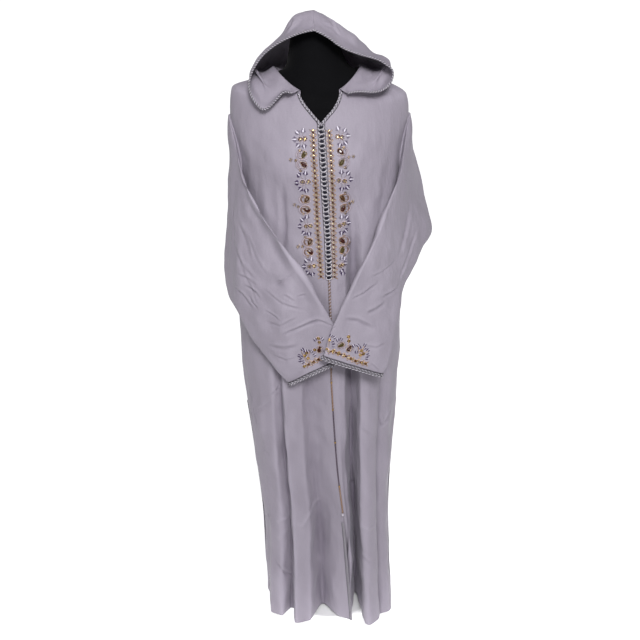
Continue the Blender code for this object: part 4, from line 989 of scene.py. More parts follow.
def evenlyAlong(points, count):
    chord = np.r_[0.0, np.cumsum(np.linalg.norm(np.diff(points, axis=0), axis=1) ** 0.5)]
    curve = hermite(chord, points, np.gradient(points, chord, axis=0),
                    np.linspace(0, chord[-1], 40 * len(points)))
    run = runs(curve)
    return read(np.linspace(0, run[-1], count), run, curve)


def hoodSection(side, depth):
    sign = 1 if side == "left" else -1
    edge = np.stack([pick(hoodColumns, hoodEdge, f"{side}{axis}") for axis in "XYZ"], axis=1)
    rise = pick(hoodColumns, hoodEdge, f"{side}Rise")
    backY, backZ = pick(hoodColumns, hoodEdge, "backY"), pick(hoodColumns, hoodEdge, "backZ")
    swing = np.radians(90 * depth)
    narrow, deep = np.cos(swing) ** 0.72, np.sin(swing) ** 0.9
    points = np.empty_like(edge)
    points[:, 0] = (edge[-1, 0] * (1 - ease(depth)) + (edge[:, 0] - edge[-1, 0]) * narrow
                    + sign * cloth["seamGap"] / 2)
    points[:, 1] = edge[:, 1] + (backY - edge[:, 1]) * deep
    points[:, 2] = edge[:, 2] + rise * ease(depth / 0.16) + (backZ - edge[:, 2] - rise) * ease(depth)
    first = neckHalfAngle(neckline)
    turned = np.array([sign * (first + (180 - first) * depth)])
    for name, (down, clear) in hoodSet["followsShoulder"].items():
        row = list(hoodEdge).index(name)
        over = (bodyRing(neckline - down, turned) + bodyNormal(neckline - down, turned) * clear)[0]
        follows = ease(depth / 0.3) * (1 - ease((depth - 0.8) / 0.2))
        points[row] = points[row] * (1 - follows) + over * follows
    seam = bodyRing(neckline, turned)[0]
    upward = unit(seam - bodyRing(neckline - 0.05, turned)[0])
    return np.vstack([seam + upward * 1.5 * cloth["seamGap"],
                      seam + upward * cloth["seamGap"] + [0, 0, hoodSet["stand"]], points])


def makeHood(samples):
    for side in ("right", "left"):
        name, sign = f"hood_{side}", 1 if side == "left" else -1
        points = []
        for depth in np.linspace(0, 1, hoodSet["deep"]) ** 1.1:
            section = hoodSection(side, depth)
            points.append(np.vstack([section[:1], evenlyAlong(section[1:], hoodSet["up"])]))
        points = np.array(points)
        points[:, 2:] = keepOff(points[:, 2:], hoodSet["off"], samples)
        points[-1, :, 0] = sign * cloth["seamGap"] / 2
        points = refine(points, hoodSet["rows"])
        points = refine(points.swapaxes(0, 1), hoodSet["columns"]).swapaxes(0, 1)
        normals = -sign * gridNormals(points)
        rows = np.arange(hoodSet["rows"])
        calm = ((ease(rows / hoodSet["calmRows"]) * ease(rows[::-1] / hoodSet["calmRows"]))[:, None]
                * ease(np.arange(hoodSet["columns"]) / hoodSet["calmColumns"])[None, :])
        heights = rippleHeights(points, hoodSet["ripple"]) + creaseHeights(points, normals, creases[name])
        heights *= calm
        points = points + normals * heights[..., None]
        points[-1, :, 0] = sign * cloth["seamGap"] / 8
        normals = -sign * gridNormals(points)
        normals[-1, :, 0], normals[:, -1, 0] = 0.0, 0.0
        addCloth(name, points, unit(normals))


makeHood(bodySamples)
print("hood made")


# Geometry Nodes: one tree sets small shapes on the cloth, one draws strands along lines
class NodeTree:
    # sockets: title, kind and value of each input
    def __init__(self, name, sockets):
        self.tree = bpy.data.node_groups.new(name, "GeometryNodeTree")
        self.tree.is_modifier = True
        for title, kind, value in [("Geometry", "Geometry", None)] + sockets:
            socket = self.tree.interface.new_socket(title, in_out="INPUT", socket_type="NodeSocket" + kind)
            if value is not None:
                socket.default_value = value
        self.tree.interface.new_socket("Geometry", in_out="OUTPUT", socket_type="NodeSocketGeometry")
        self.start = self.tree.nodes.new("NodeGroupInput")

    def given(self, title):
        return self.start.outputs[title]

    def add(self, kind, inputs, output=0, **settings):
        return addNode(self.tree, kind, settings, inputs).outputs[output]

    def named(self, key, kind):
        return self.add("GeometryNodeInputNamedAttribute", {"Name": key}, data_type=kind)

    def closed(self, geometry):
        real = self.add("GeometryNodeRealizeInstances", {"Geometry": geometry})
        painted = self.add("GeometryNodeSetMaterial", {"Geometry": real, "Material": self.given("Material")})
        addNode(self.tree, "NodeGroupOutput", {}, {0: painted})
        return self.tree


def scatterTree():
    tree = NodeTree("setOnCloth", [
        ("Shape", "Object", None), ("Grow", "Float", 1.0), ("Turn spread", "Float", 0.0), ("Seed", "Int", 0),
        ("Material", "Material", None)])
    along, facing, size = (tree.named(key, "FLOAT_VECTOR") for key in ("along", "facing", "size"))
    turned = tree.add("FunctionNodeAxesToRotation", {0: facing, 1: along},
                      primary_axis="Z", secondary_axis="X")
    spread = tree.given("Turn spread")
    low = tree.add("ShaderNodeMath", {0: spread, 1: -1.0}, operation="MULTIPLY")
    limits = {"Min": low, "Max": spread, "Seed": tree.given("Seed")}
    chance = tree.add("FunctionNodeRandomValue", limits, "Value", data_type="FLOAT")
    spin = tree.add("FunctionNodeAxisAngleToRotation", {"Axis": (0, 0, 1), "Angle": chance})
    faced = tree.add("FunctionNodeRotateRotation", {0: turned, 1: spin}, rotation_space="LOCAL")
    shape = tree.add("GeometryNodeObjectInfo", {"Object": tree.given("Shape")}, "Geometry")
    grown = tree.add("ShaderNodeVectorMath", {0: size, "Scale": tree.given("Grow")}, operation="SCALE")
    return tree.closed(tree.add("GeometryNodeInstanceOnPoints", {
        "Points": tree.given("Geometry"), "Instance": shape, "Rotation": faced, "Scale": grown}))


def strandTree():
    tree = NodeTree("drawStrands", [
        ("Sides", "Int", 5), ("Grow", "Float", 1.0), ("Material", "Material", None)])
    thick = tree.named("thick", "FLOAT")
    curve = tree.add("GeometryNodeMeshToCurve", {"Mesh": tree.given("Geometry")})
    radius = tree.add("ShaderNodeMath", {0: thick, 1: tree.given("Grow")}, operation="MULTIPLY")
    sized = tree.add("GeometryNodeSetCurveRadius", {"Curve": curve, "Radius": radius})
    ring = tree.add("GeometryNodeCurvePrimitiveCircle", {"Resolution": tree.given("Sides"), "Radius": 1.0})
    tube = tree.add("GeometryNodeCurveToMesh", {"Curve": sized, "Profile Curve": ring, "Fill Caps": True})
    if "Scale" in tube.node.inputs:
        tree.tree.links.new(radius, tube.node.inputs["Scale"])
    return tree.closed(tube)


trees = {"scatter": scatterTree(), "strands": strandTree()}


def applyTree(name, mesh, tree, values, smooth=True):
    holder = linked(name, mesh)
    modifier = holder.modifiers.new("nodes", "NODES")
    modifier.node_group = tree
    identifiers = {item.name: item.identifier for item in tree.interface.items_tree if item.in_out == "INPUT"}
    for title, value in values.items():
        modifier[identifiers[title]] = value
    bpy.context.view_layer.update()
    graph = bpy.context.evaluated_depsgraph_get()
    plain = bpy.data.meshes.new_from_object(holder.evaluated_get(graph), preserve_all_data_layers=True,
                                            depsgraph=graph)
    bpy.data.objects.remove(holder)
    plain.name = name
    if smooth:
        plain.polygons.foreach_set("use_smooth", np.ones(len(plain.polygons), bool))
    for spare in ("along", "facing", "size", "thick"):
        if spare in plain.attributes:
            plain.attributes.remove(plain.attributes[spare])
    return plain


def scatterMesh(name, rows, shape, material, spread=0.0, seed=0, smooth=True):
    # rows: point, along, facing, size (3), shade
    points = bpy.data.meshes.new(name + "Points")
    points.from_pydata([tuple(row[0]) for row in rows], [], [])
    for column, key in enumerate(("along", "facing", "size"), 1):
        addAttribute(points, key, [row[column] for row in rows], "FLOAT_VECTOR")
    addAttribute(points, "shade", [row[4] for row in rows])
    return applyTree(name, points, trees["scatter"],
                     {"Shape": shape, "Turn spread": spread, "Seed": seed, "Material": material}, smooth)


def strandMesh(name, lines, material, sides=5):
    # lines: points, radius (number or array), shade
    places, edges, thick, shade = [], [], [], []
    for points, radius, tone in lines:
        base = len(places)
        places += [tuple(point) for point in points]
        edges += [(base + i, base + i + 1) for i in range(len(points) - 1)]
        thick += list(np.broadcast_to(radius, len(points)))
        shade += list(np.broadcast_to(tone, len(points)))
    mesh = bpy.data.meshes.new(name + "Lines")
    mesh.from_pydata(places, edges, [])
    addAttribute(mesh, "thick", thick)
    addAttribute(mesh, "shade", shade)
    return applyTree(name, mesh, trees["strands"], {"Sides": sides, "Material": material})


def joined(name, meshes):
    # several finished meshes as one, each with its own material
    first = bmesh.new()
    materials = []
    for mesh in meshes:
        before = len(first.faces)
        first.from_mesh(mesh)
        first.faces.ensure_lookup_table()
        for face in first.faces[before:]:
            face.material_index = len(materials)
        materials.append(next(filter(None, mesh.materials)))
    result = bpy.data.meshes.new(name)
    first.to_mesh(result)
    first.free()
    for material in materials:
        result.materials.append(material)
    return result


# small shapes
def ringsShape(name, rings, around):
    # a small closed shape through rings of points; a ring of one point is a pole
    shape = bmesh.new()
    rings = [[shape.verts.new(point) for point in ring] for ring in rings]
    for low, high in zip(rings, rings[1:]):
        for i in range(around):
            j = (i + 1) % around
            corners = [low[i % len(low)], low[j % len(low)], high[j % len(high)], high[i % len(high)]]
            shape.faces.new([v for k, v in enumerate(corners) if v not in corners[:k]])
    for end in (rings[0][::-1], rings[-1]):
        if len(end) > 1:
            shape.faces.new(end)
    bmesh.ops.recalc_face_normals(shape, faces=shape.faces)
    mesh = bpy.data.meshes.new(name)
    shape.to_mesh(mesh)
    shape.free()
    return linked(name, mesh)


def latheShape(name, profile, around):
    # a round shape on Z from (radius, height) rows
    turns = np.arange(around) * 2 * np.pi / around
    rings = [[(radius * np.cos(turn), radius * np.sin(turn), height)
              for turn in (turns if radius else turns[:1])] for radius, height in profile]
    return ringsShape(name, rings, around)


def ballProfile(rows):
    lean = np.linspace(-np.pi / 2, np.pi / 2, rows + 2)
    return [(0.0, -0.5)] + [(0.5 * np.cos(a), 0.5 * np.sin(a)) for a in lean[1:-1]] + [(0.0, 0.5)]


def teardropShape(name, around=14):
    # faceted teardrop, 1 long on X, point at +X, flat back
    turn = np.arange(around) * 2 * np.pi / around
    width = 0.36 * np.sin(turn) * np.sin((np.pi - np.abs(turn - np.pi)) / 2 + 1e-9) ** 0.6
    outline = np.stack([0.5 * np.cos(turn), np.where(np.abs(np.sin(turn)) < 1e-6, 0, width)], axis=1)
    levels = ((1.0, 0.0), (1.0, 0.10), (0.72, 0.24), (0.42, 0.30))
    rings = [[(x * scale - 0.06 * (1 - scale), y * scale, height) for x, y in outline]
             for scale, height in levels]
    return ringsShape(name, rings, around), outline


def knotShape(name, around=20, rows=11):
    # a button knotted from cord: a ball with wound grooves
    made = latheShape(name, ballProfile(rows), around)
    for vertex in made.data.vertices:
        x, y, z = vertex.co
        turn, lean = np.arctan2(y, x), np.arcsin(np.clip(2 * z, -1, 1))
        wound = np.abs(np.sin(1.5 * turn + 2.4 * lean)) * np.abs(np.sin(1.5 * turn - 2.4 * lean + 1.2))
        vertex.co *= 0.90 + 0.13 * wound ** 0.6
    return made


gemProfile = [(0.0, 0.0), (0.5, 0.0), (0.5, 0.12), (0.33, 0.30), (0.0, 0.34)]
shapes = {"stitch": latheShape("stitchShape", ballProfile(5), 7),
          "bead": latheShape("beadShape", ballProfile(4), 8),
          "gem": latheShape("gemShape", gemProfile, 8), "knot": knotShape("knotShape")}
shapes["teardrop"], dropOutline = teardropShape("teardropShape")
for vertex in shapes["stitch"].data.vertices:  # lay the stitch along X
    vertex.co = Vector((vertex.co.z, vertex.co.x, vertex.co.y))


# lines on the cloth
def edgeLine(panel, edge, distance, bottomZ, topZ, lift=0.0):
    # a line that keeps a distance from a panel's centre or side edge: points and normals
    points, normals = grids[panel]
    if (panel == "front_right") == (edge == "centre"):
        points, normals = points[:, ::-1], normals[:, ::-1]
    keep = (points[:, 0, 2] >= bottomZ) & (points[:, 0, 2] <= topZ)
    places, faces = [], []
    for row, facing in zip(points[keep], normals[keep]):
        run = runs(row)
        places.append(read(distance, run, row))
        faces.append(read(distance, run, facing))
    faces = unit(np.array(faces))
    return np.array(places) + faces * lift, faces


def evenSteps(points, normals, spacing):
    run = runs(points)
    wanted = np.linspace(0, run[-1], max(int(round(run[-1] / spacing)), 2) + 1)
    places = read(wanted, run, points)
    return places, unit(read(wanted, run, normals)), unit(np.gradient(places, axis=0)), wanted


def twist(points, normals, radius, pitch, tones, hand=1, phase=0.0):
    # strands wound round a line: light and dark ones make a corded braid
    places, faces, along, run = evenSteps(points, normals, pitch / 7.5)
    side = unit(np.cross(along, faces))
    lines = []
    for index, tone in enumerate(tones):
        turn = hand * 2 * np.pi * run / pitch + phase + 2 * np.pi * index / len(tones)
        centre = places + (side * np.cos(turn)[:, None] + faces * np.sin(turn)[:, None]) * radius * 0.5
        lines.append((centre, radius * 0.60, tone))
    return lines


# corded braids
cordLift = 0.0003  # gap between a sewn cord and the cloth
braids = {
    # panel, edge, distance of each cord from the edge, bottom, top, cord radius and pitch
    "front_braid_right": ("front_right", "centre", (0.0022, 0.0056), 1.000, 1.475, 0.0017, 0.0082),
    "front_braid_left": ("front_left", "centre", (0.0022, 0.0056), 1.000, 1.475, 0.0017, 0.0082),
    "slit_braid_right": ("front_right", "centre", (0.0017, 0.0042), 0.025, 0.340, 0.0013, 0.0070),
    "side_braid_right": ("front_right", "side", (0.0018, 0.0046), 0.025, 0.640, 0.0014, 0.0074),
    "side_braid_left": ("front_left", "side", (0.0018, 0.0046), 0.025, 0.640, 0.0014, 0.0074),
}
# a dark cord beside a braid, painted shadow between the braid and the cloth; its distance is in cord radii
shadowLine = {"step": 0.004, "radius": 0.0008, "beside": 1.7, "lift": 0.0006}


def makeBraids():
    for name, (panel, edge, distances, bottom, top, radius, pitch) in braids.items():
        lines = []
        for index, distance in enumerate(distances):
            points, normals = edgeLine(panel, edge, distance, bottom, top, radius + cordLift)
            lines += twist(points, normals, radius, pitch, (1.0, 0.12), 1 if index else -1, index * 0.6)
        # the dark cord beside the braid is painted shadow where the braid meets the cloth
        beside = distances[-1] + radius * shadowLine["beside"]
        points, normals = edgeLine(panel, edge, beside, bottom, top, shadowLine["lift"])
        lines.append((evenSteps(points, normals, shadowLine["step"])[0], shadowLine["radius"], 0.0))
        mesh = strandMesh(name + "_cords", lines, finishes["silverThread"])
        addPiece(mesh, [name])


def makeCuffBraids():
    cuff = {"distances": (0.0022, 0.0066, 0.0104), "radii": (0.0021, 0.0019, 0.0013), "pitch": 0.0086,
            "tones": ((0.85, 0.10), (0.85, 0.10), (0.1, 0.0)), "reach": 12}
    for side in sleeves:
        points, normals = (grid[::-1][:cuff["reach"]].swapaxes(0, 1) for grid in grids[f"sleeve_{side}"])
        lines = []
        for index, (distance, radius) in enumerate(zip(cuff["distances"], cuff["radii"])):
            ring = np.array([read(distance, runs(row), row) for row in points])
            facing = unit(np.array([read(distance, runs(row), out) for row, out in zip(points, normals)]))
            ring += facing * (radius + cordLift)
            ring, facing = np.vstack([ring, ring[:1]]), np.vstack([facing, facing[:1]])
            lines += twist(ring, facing, radius, cuff["pitch"], cuff["tones"][index],
                           -1 if index % 2 else 1, index * 0.5)
        mesh = strandMesh(f"cuff_braid_{side}_cords", lines, finishes["silverThread"])
        addPiece(mesh, [f"cuff_braid_{side}"])


def makeHoodCords():
    cord = {"radius": 0.0021, "pitch": 0.0062, "tones": (0.90, 0.10)}
    for side in ("right", "left"):
        points, normals = (grid[:, hoodSet["cordFrom"]:] for grid in grids[f"hood_{side}"])
        centre = points[0] + unit(points[0] - points[1]) * (cord["radius"] + cordLift)
        lines = twist(centre, normals[0], cord["radius"], cord["pitch"], cord["tones"],
                      1 if side == "left" else -1)
        mesh = strandMesh(f"hood_cord_{side}_cords", lines, finishes["silverThread"])
        addPiece(mesh, [f"hood_cord_{side}"])


makeBraids()
makeCuffBraids()
makeHoodCords()
print("braids made")

# front closing: knots, loops, satin piping and the cord below them
buttonSet = {
    "count": 35, "topZ": 1.347, "endZ": 1.004, "size": (0.0056, 0.0116, 0.0058), "standOff": 0.0052,
    # points of a loop: across, up and out from its button's seat
    "loop": ((0.0072, -0.0010, 0.0022), (0.0060, -0.0034, 0.0034), (0.0030, -0.0050, 0.0052),
             (-0.0012, -0.0049, 0.0058), (-0.0046, -0.0030, 0.0046), (-0.0058, -0.0002, 0.0030)),
    "loopRadius": 0.0011,
}
piping = {"distance": 0.0112, "bottomZ": 1.000, "topZ": 1.350, "spacing": 0.0015, "lift": 0.0008,
          "stitch": (0.0064, 0.0013, 0.0016)}


def seamPoint(z):
    # the middle of the centre seam at a height, and the way it faces
    (place, face), (otherPlace, otherFace) = (
        [read(z, points[:, 2], rows) for rows in (points, normals)]
        for points, normals in (edgeLine(panel, "centre", 0.0, z - 0.012, z + 0.012)
                                for panel in ("front_right", "front_left")))
    return (place + otherPlace) / 2, unit(face + otherFace)


def makeButtons():
    knots, loops = [], []
    for index, z in enumerate(np.linspace(buttonSet["topZ"], buttonSet["endZ"], buttonSet["count"])):
        seat, out = seamPoint(z)
        up = unit(np.array([0, 0, 1.0]) - out * out[2])
        side = unit(np.cross(out, up))
        place, tone = seat + out * buttonSet["standOff"], 0.35 + 0.25 * (index % 2)
        knots.append((place, up, out, buttonSet["size"], tone))
        loop = np.array([seat + side * a + up * b + out * c for a, b, c in buttonSet["loop"]])
        loops.append((evenlyAlong(loop, 12), buttonSet["loopRadius"], 0.90))
    nodes = [f"button_{number:02d}" for number in range(1, buttonSet["count"] + 1)]
    addPiece(scatterMesh("knot_buttons", knots, shapes["knot"], finishes["knotThread"], spread=0.5, seed=4),
             nodes)
    addPiece(strandMesh("button_loops", loops, finishes["paleThread"]))
    points, normals = edgeLine("front_left", "centre", piping["distance"], piping["bottomZ"], piping["topZ"])
    places, faces, along, _ = evenSteps(points, normals, piping["spacing"])
    rows = [(place + face * piping["lift"], across, face, piping["stitch"], 0.75 + 0.2 * (i % 2))
            for i, (place, face, across) in enumerate(zip(places, faces, unit(np.cross(along, faces))))]
    addPiece(scatterMesh("satin_piping", rows, shapes["stitch"], finishes["satinThread"]))


def makeFrontCord():
    cord = {
        # bottom, top, radius, thread, tones of its two strands
        "stretches": ((0.900, 0.998, 0.0030, "cordThread", (0.95, 0.10)),
                      (0.738, 0.900, 0.0021, "cordThread", (0.50, 0.0)),
                      (0.665, 0.738, 0.0019, "goldThread", (0.30, 0.0)),
                      (0.446, 0.665, 0.0017, "plumThread", (0.75, 0.0)),
                      (0.366, 0.446, 0.0021, "goldThread", (0.45, 0.0))),
        "pitch": 0.0080, "step": 0.006, "knots": (0.738, 0.665, 0.5735, 0.446),
        "knot": (0.0052, 0.0052, 0.0046), "knotLift": 0.0026, "endKnot": (0.0085, 0.0085, 0.0085),
    }
    across, upward = np.array([1.0, 0, 0]), np.array([0, 0, 1.0])
    meshes = []
    for bottom, top, radius, thread, tones in cord["stretches"]:
        heights = np.arange(bottom, top + 0.001, cord["step"])
        base, out = (np.array(rows) for rows in zip(*map(seamPoint, heights)))
        lines = twist(base + out * (radius + 0.0004), out, radius, cord["pitch"], tones, -1)
        meshes.append(strandMesh("cord stretch", lines, finishes[thread]))
    knots = [(seat + out * cord["knotLift"], across, out, cord["knot"], 0.8)
             for seat, out in map(seamPoint, cord["knots"])]
    meshes.append(scatterMesh("cord knots", knots, shapes["bead"], finishes["gold"]))
    addPiece(joined("front_cord_strands", meshes), ["front_cord"])
    low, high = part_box("cord_end_bead")
    knot = [(np.array((low + high) / 2), across, upward, cord["endKnot"], 0.9)]
    addPiece(scatterMesh("cord_end_knot", knot, shapes["knot"], finishes["satinThread"]),
             ["cord_end_bead"])


makeButtons()
makeFrontCord()
print("buttons and cord made")


# embroidery
def surfaceTree(*names):
    return [BVHTree.FromPolygons([tuple(v.co) for v in mesh.vertices],
                                 [tuple(p.vertices) for p in mesh.polygons])
            for mesh in (pieces[name].data for name in names)]


grounds = {"front": surfaceTree("front_right", "front_left"), "sleeve_left": surfaceTree("sleeve_left"),
           "sleeve_right": surfaceTree("sleeve_right")}


def seatOn(ground, x, z, lift=0.0):
    # the cloth's outer face straight behind a point of the front view
    best = None
    for tree in grounds[ground]:
        place, normal, _, far = tree.ray_cast(Vector((x, -1.0, z)), Vector((0, 1, 0)))
        if place is not None and (best is None or far < best[0]):
            best = far, np.array(place), np.array(normal)
    if best is None:
        return None
    normal = best[2] if best[2][1] < 0 else -best[2]
    return best[1] + normal * lift, normal


def headingOn(normal, degrees):
    # the way on the cloth that shows at an angle in the front view
    x, z = direction(degrees)
    return unit(np.array([x, -(normal[0] * x + normal[2] * z) / normal[1], z]))


def arc(x, z, wide, high, first, last, count, shift=0.0, hand=1):
    # points on an ellipse of the front view, moved outward by shift on the side that hand says
    turn = np.radians(np.linspace(first, last, count))
    return np.stack([x + hand * (shift + wide * np.cos(turn)), z + high * np.sin(turn)], axis=1)


def resampleRing(points, count):
    ring = np.vstack([points, points[:1]])
    run = runs(ring)
    return read(np.linspace(0, run[-1], count, endpoint=False), run, ring)


# what each kind of stitch and bead is made of: a shape or a number of sides, its finish, how it is set
needleKinds = {
    "satin": ("stitch", "leafThread", {}), "beads": ("bead", "gold", {}),
    "gems": ("gem", "crystal", {"spread": 0.6, "seed": 9, "smooth": False}),
    "rims": (3, "leafThread", {}), "threads": (3, "scrollThread", {}), "golds": (4, "goldThread", {}),
    **{stone: ("teardrop", stone, {"smooth": False}) for stone in ("wine", "olive", "amber")},
}
stemSet = {"back": 0.004, "radius": 0.0005, "tone": 0.3}
leafSet = {"length": 0.0112, "width": 0.0038, "stitches": 9, "stitch": 0.0012, "shortest": 0.0010,
           "lift": 0.0005, "rim": 0.0013}
strokeSet = {"back": 0.0115 * 0.55, "open": 48, "reach": (0.0034, 0.0056, 0.0082), "radius": 0.0013,
             "lift": 0.0006}
# tones of the middle stone, and of every second bead round it
flowerSet = {"size": 0.0092, "gem": 0.0052, "beads": 8, "bead": 0.0026, "firstAngle": 20, "ring": 0.0007,
             "tones": {"copper": (0.35, 0.4), "gold": (0.8, 0.9)}}
dropSet = {"length": 0.0165, "wide": 0.92, "deep": 0.5, "beads": 20, "bead": (0.0016, 0.0016, 0.0014),
           "beadLine": (1.16, 1.25), "lift": 0.0004}


class Needlework:
    # collects every kind of stitch and bead of one embroidered place, then makes its meshes
    def __init__(self, ground):
        self.ground, self.rows = ground, {kind: [] for kind in needleKinds}

    def round(self, kind, x, z, size, tone, lift, degrees, high):
        spot = seatOn(self.ground, x, z, lift)
        if spot:
            place, normal = spot
            along = headingOn(normal, degrees)
            self.rows[kind].append((place, along, normal, (size, size, size * high), tone))

    def bead(self, x, z, size, tone):
        self.round("beads", x, z, size, tone, size * 0.35, 0, 0.8)

    def gem(self, x, z, size, tone):
        self.round("gems", x, z, size, tone, 0.0003, 17, 1.1)

    def leaf(self, x, z, degrees, tone, length=leafSet["length"], width=leafSet["width"]):
        # two rows of slanting satin stitches either side of a midrib, and a dark rim
        spot = seatOn(self.ground, x, z, leafSet["lift"])
        if not spot:
            return
        place, normal = spot
        along = headingOn(normal, degrees)
        side = unit(np.cross(normal, along))
        for share in np.linspace(0.08, 0.95, leafSet["stitches"]):
            half = width / 2 * np.sin(np.pi * share ** 0.8) ** 0.8
            size = (max(half * 1.2, leafSet["shortest"]), leafSet["stitch"], leafSet["stitch"])
            for hand in (-1, 1):
                at = place + along * (share - 0.5) * length + side * hand * half * 0.45
                lean = unit(along * 0.75 + side * hand)
                self.rows["satin"].append((at, lean, normal, size, 0.55 + 0.45 * tone))
        shares = np.linspace(0.05, 0.80, 7)
        half = leafSet["rim"] + width / 2 * np.sin(np.pi * shares ** 0.85)
        for hand in (-1, 1):
            rim = (place + np.outer((shares - 0.5) * length, along) + np.outer(hand * half, side)
                   + normal * leafSet["lift"])
            self.rows["rims"].append((rim, leafSet["rim"], 0.25 * tone ** 3))

    def strokes(self, x, z, degrees, tone):
        # two short purple stitches that open from a leaf's foot
        foot = np.array([x, z]) - strokeSet["back"] * direction(degrees)
        for lean in (-strokeSet["open"], strokeSet["open"]):
            out = direction(degrees + lean)
            spots = [seatOn(self.ground, *(foot + out * reach), strokeSet["lift"])
                     for reach in strokeSet["reach"]]
            if all(spots):
                line = np.array([spot[0] for spot in spots])
                self.rows["rims"].append((line, strokeSet["radius"], 0.35 * tone ** 3))

    def thread(self, points, radius, tone, gold=False):
        # a pair of tones is that of the middle and of the ends
        spots = [seatOn(self.ground, x, z, 0.0004 + radius * 0.5) for x, z in points]
        spots = np.array([spot[0] for spot in spots if spot])
        if len(spots) > 2:
            line = evenlyAlong(spots, max(len(points) * 3, 9))
            if isinstance(tone, tuple):
                middle, end = tone
                tone = middle + (end - middle) * np.abs(np.linspace(-1, 1, len(line)))
            self.rows["golds" if gold else "threads"].append((line, radius, tone))

    def flower(self, x, z, kind, size=flowerSet["size"]):
        gemTone, beadTone = flowerSet["tones"][kind]
        self.gem(x, z, flowerSet["gem"], gemTone)
        for turn in range(flowerSet["beads"]):
            out = direction(360 / flowerSet["beads"] * turn + flowerSet["firstAngle"]) * size / 2.1
            self.bead(x + out[0], z + out[1], flowerSet["bead"], beadTone * (turn % 2))
        self.thread(arc(x, z, size * 0.72, size * 0.66, 0, 330, 13), flowerSet["ring"], 0.95)

    def teardrop(self, x, z, degrees, kind, length=dropSet["length"]):
        spot = seatOn(self.ground, x, z, dropSet["lift"])
        if not spot:
            return
        place, normal = spot
        along = headingOn(normal, degrees)
        side = unit(np.cross(normal, along))
        wide = length * dropSet["wide"]
        self.rows[kind].append((place, along, normal, (length, wide, length * dropSet["deep"]), 0.5))
        for u, v in resampleRing(dropOutline * dropSet["beadLine"], dropSet["beads"]):
            at = place + along * u * length + side * v * wide + normal * dropSet["lift"]
            self.rows["beads"].append((at, along, normal, dropSet["bead"], 0.8))

    def finish(self, name):
        meshes = []
        for kind, rows in self.rows.items():
            made, finish, options = needleKinds[kind]
            if rows and isinstance(made, int):
                meshes.append(strandMesh(kind, rows, finishes[finish], sides=made))
            elif rows:
                meshes.append(scatterMesh(kind, rows, shapes[made], finishes[finish], **options))
        mesh = joined(name, meshes)
        addPiece(mesh)
        print(f"  {name}: {len(mesh.polygons)} faces")


# leaves: x, z, the way the tip points in degrees, tone (0 purple, 1 white lilac)
sprigs = {
    "A1L": [(-0.0516, 1.3389, 135, 0.9), (-0.0374, 1.3427, 80, 0.9), (-0.0585, 1.324, 180, 0.8),
            (-0.0507, 1.3096, 225, 0.7), (-0.0364, 1.3074, 280, 0.7)],
    "A1R": [(0.0415, 1.3451, 110, 0.9), (0.0574, 1.3409, 60, 0.9), (0.0646, 1.3281, 0, 0.8),
            (0.0584, 1.3121, 310, 0.7), (0.0441, 1.3081, 250, 0.7)],
    "A2L": [(-0.0507, 1.2463, 135, 0.35), (-0.0354, 1.25, 80, 0.45), (-0.0566, 1.228, 180, 0.1),
            (-0.0482, 1.2128, 225, 0.3), (-0.0343, 1.2088, 280, 0.3)],
    "A2R": [(0.047, 1.2505, 90, 0.6), (0.063, 1.247, 50, 0.6), (0.0693, 1.2325, 0, 0.4),
            (0.0608, 1.2138, 310, 0.3), (0.0468, 1.2107, 260, 0.3)],
    "BL": [(-0.035, 1.1498, 80, 0.7), (-0.0469, 1.1428, 135, 0.6), (-0.0533, 1.1271, 180, 0.4),
           (-0.0443, 1.1106, 225, 0.3), (-0.0312, 1.1078, 280, 0.3)],
    "BR": [(0.0458, 1.147, 90, 0.8), (0.0583, 1.1451, 50, 0.7), (0.0628, 1.1311, 0, 0.5),
           (0.0549, 1.1133, 310, 0.3), (0.0444, 1.1083, 260, 0.3)],
    "CL": [(-0.0279, 1.0479, 80, 0.8), (-0.0405, 1.0463, 135, 0.7), (-0.0469, 1.0316, 180, 0.5),
           (-0.0386, 1.0153, 225, 0.3), (-0.0261, 1.0108, 280, 0.3)],
    "CR": [(0.0447, 1.0502, 90, 0.8), (0.0507, 1.0491, 70, 0.8), (0.0526, 1.0363, 0, 0.6),
           (0.0441, 1.0171, 300, 0.3), (0.0461, 1.0102, 270, 0.3)],
}
flowers = {
    "A1L": [(-0.0448, 1.3238, "copper"), (-0.0345, 1.3241, "gold")],
    "A1R": [(0.0399, 1.3271, "gold"), (0.0494, 1.325, "copper")],
    "A2L": [(-0.0428, 1.2293, "copper"), (-0.029, 1.2299, "gold")],
    "A2R": [(0.0404, 1.2312, "copper"), (0.0537, 1.2288, "gold")],
    "BL": [(-0.0379, 1.1265, "copper"), (-0.0278, 1.1272, "gold")],
    "BR": [(0.0409, 1.1262, "copper"), (0.0507, 1.1299, "gold")],
    "CL": [(-0.0329, 1.0307, "copper"), (-0.0217, 1.0313, "gold")],
    "CR": [(0.0405, 1.0304, "copper"), (0.0466, 1.0336, "gold")],
}
teardrops = [
    (-0.0378, 1.2894, 235, "olive"), (-0.039, 1.2685, 140, "wine"), (0.0462, 1.2944, 320, "wine"),
    (0.0481, 1.2712, 55, "olive"), (-0.0345, 1.1892, 235, "amber"), (-0.0352, 1.1652, 160, "wine"),
    (0.0486, 1.1899, 300, "amber"), (0.0499, 1.1665, 60, "wine"), (-0.0304, 1.0892, 250, "amber"),
    (-0.0304, 1.0653, 145, "wine"), (0.0462, 1.0904, 315, "wine"), (0.0458, 1.0687, 75, "olive"),
]
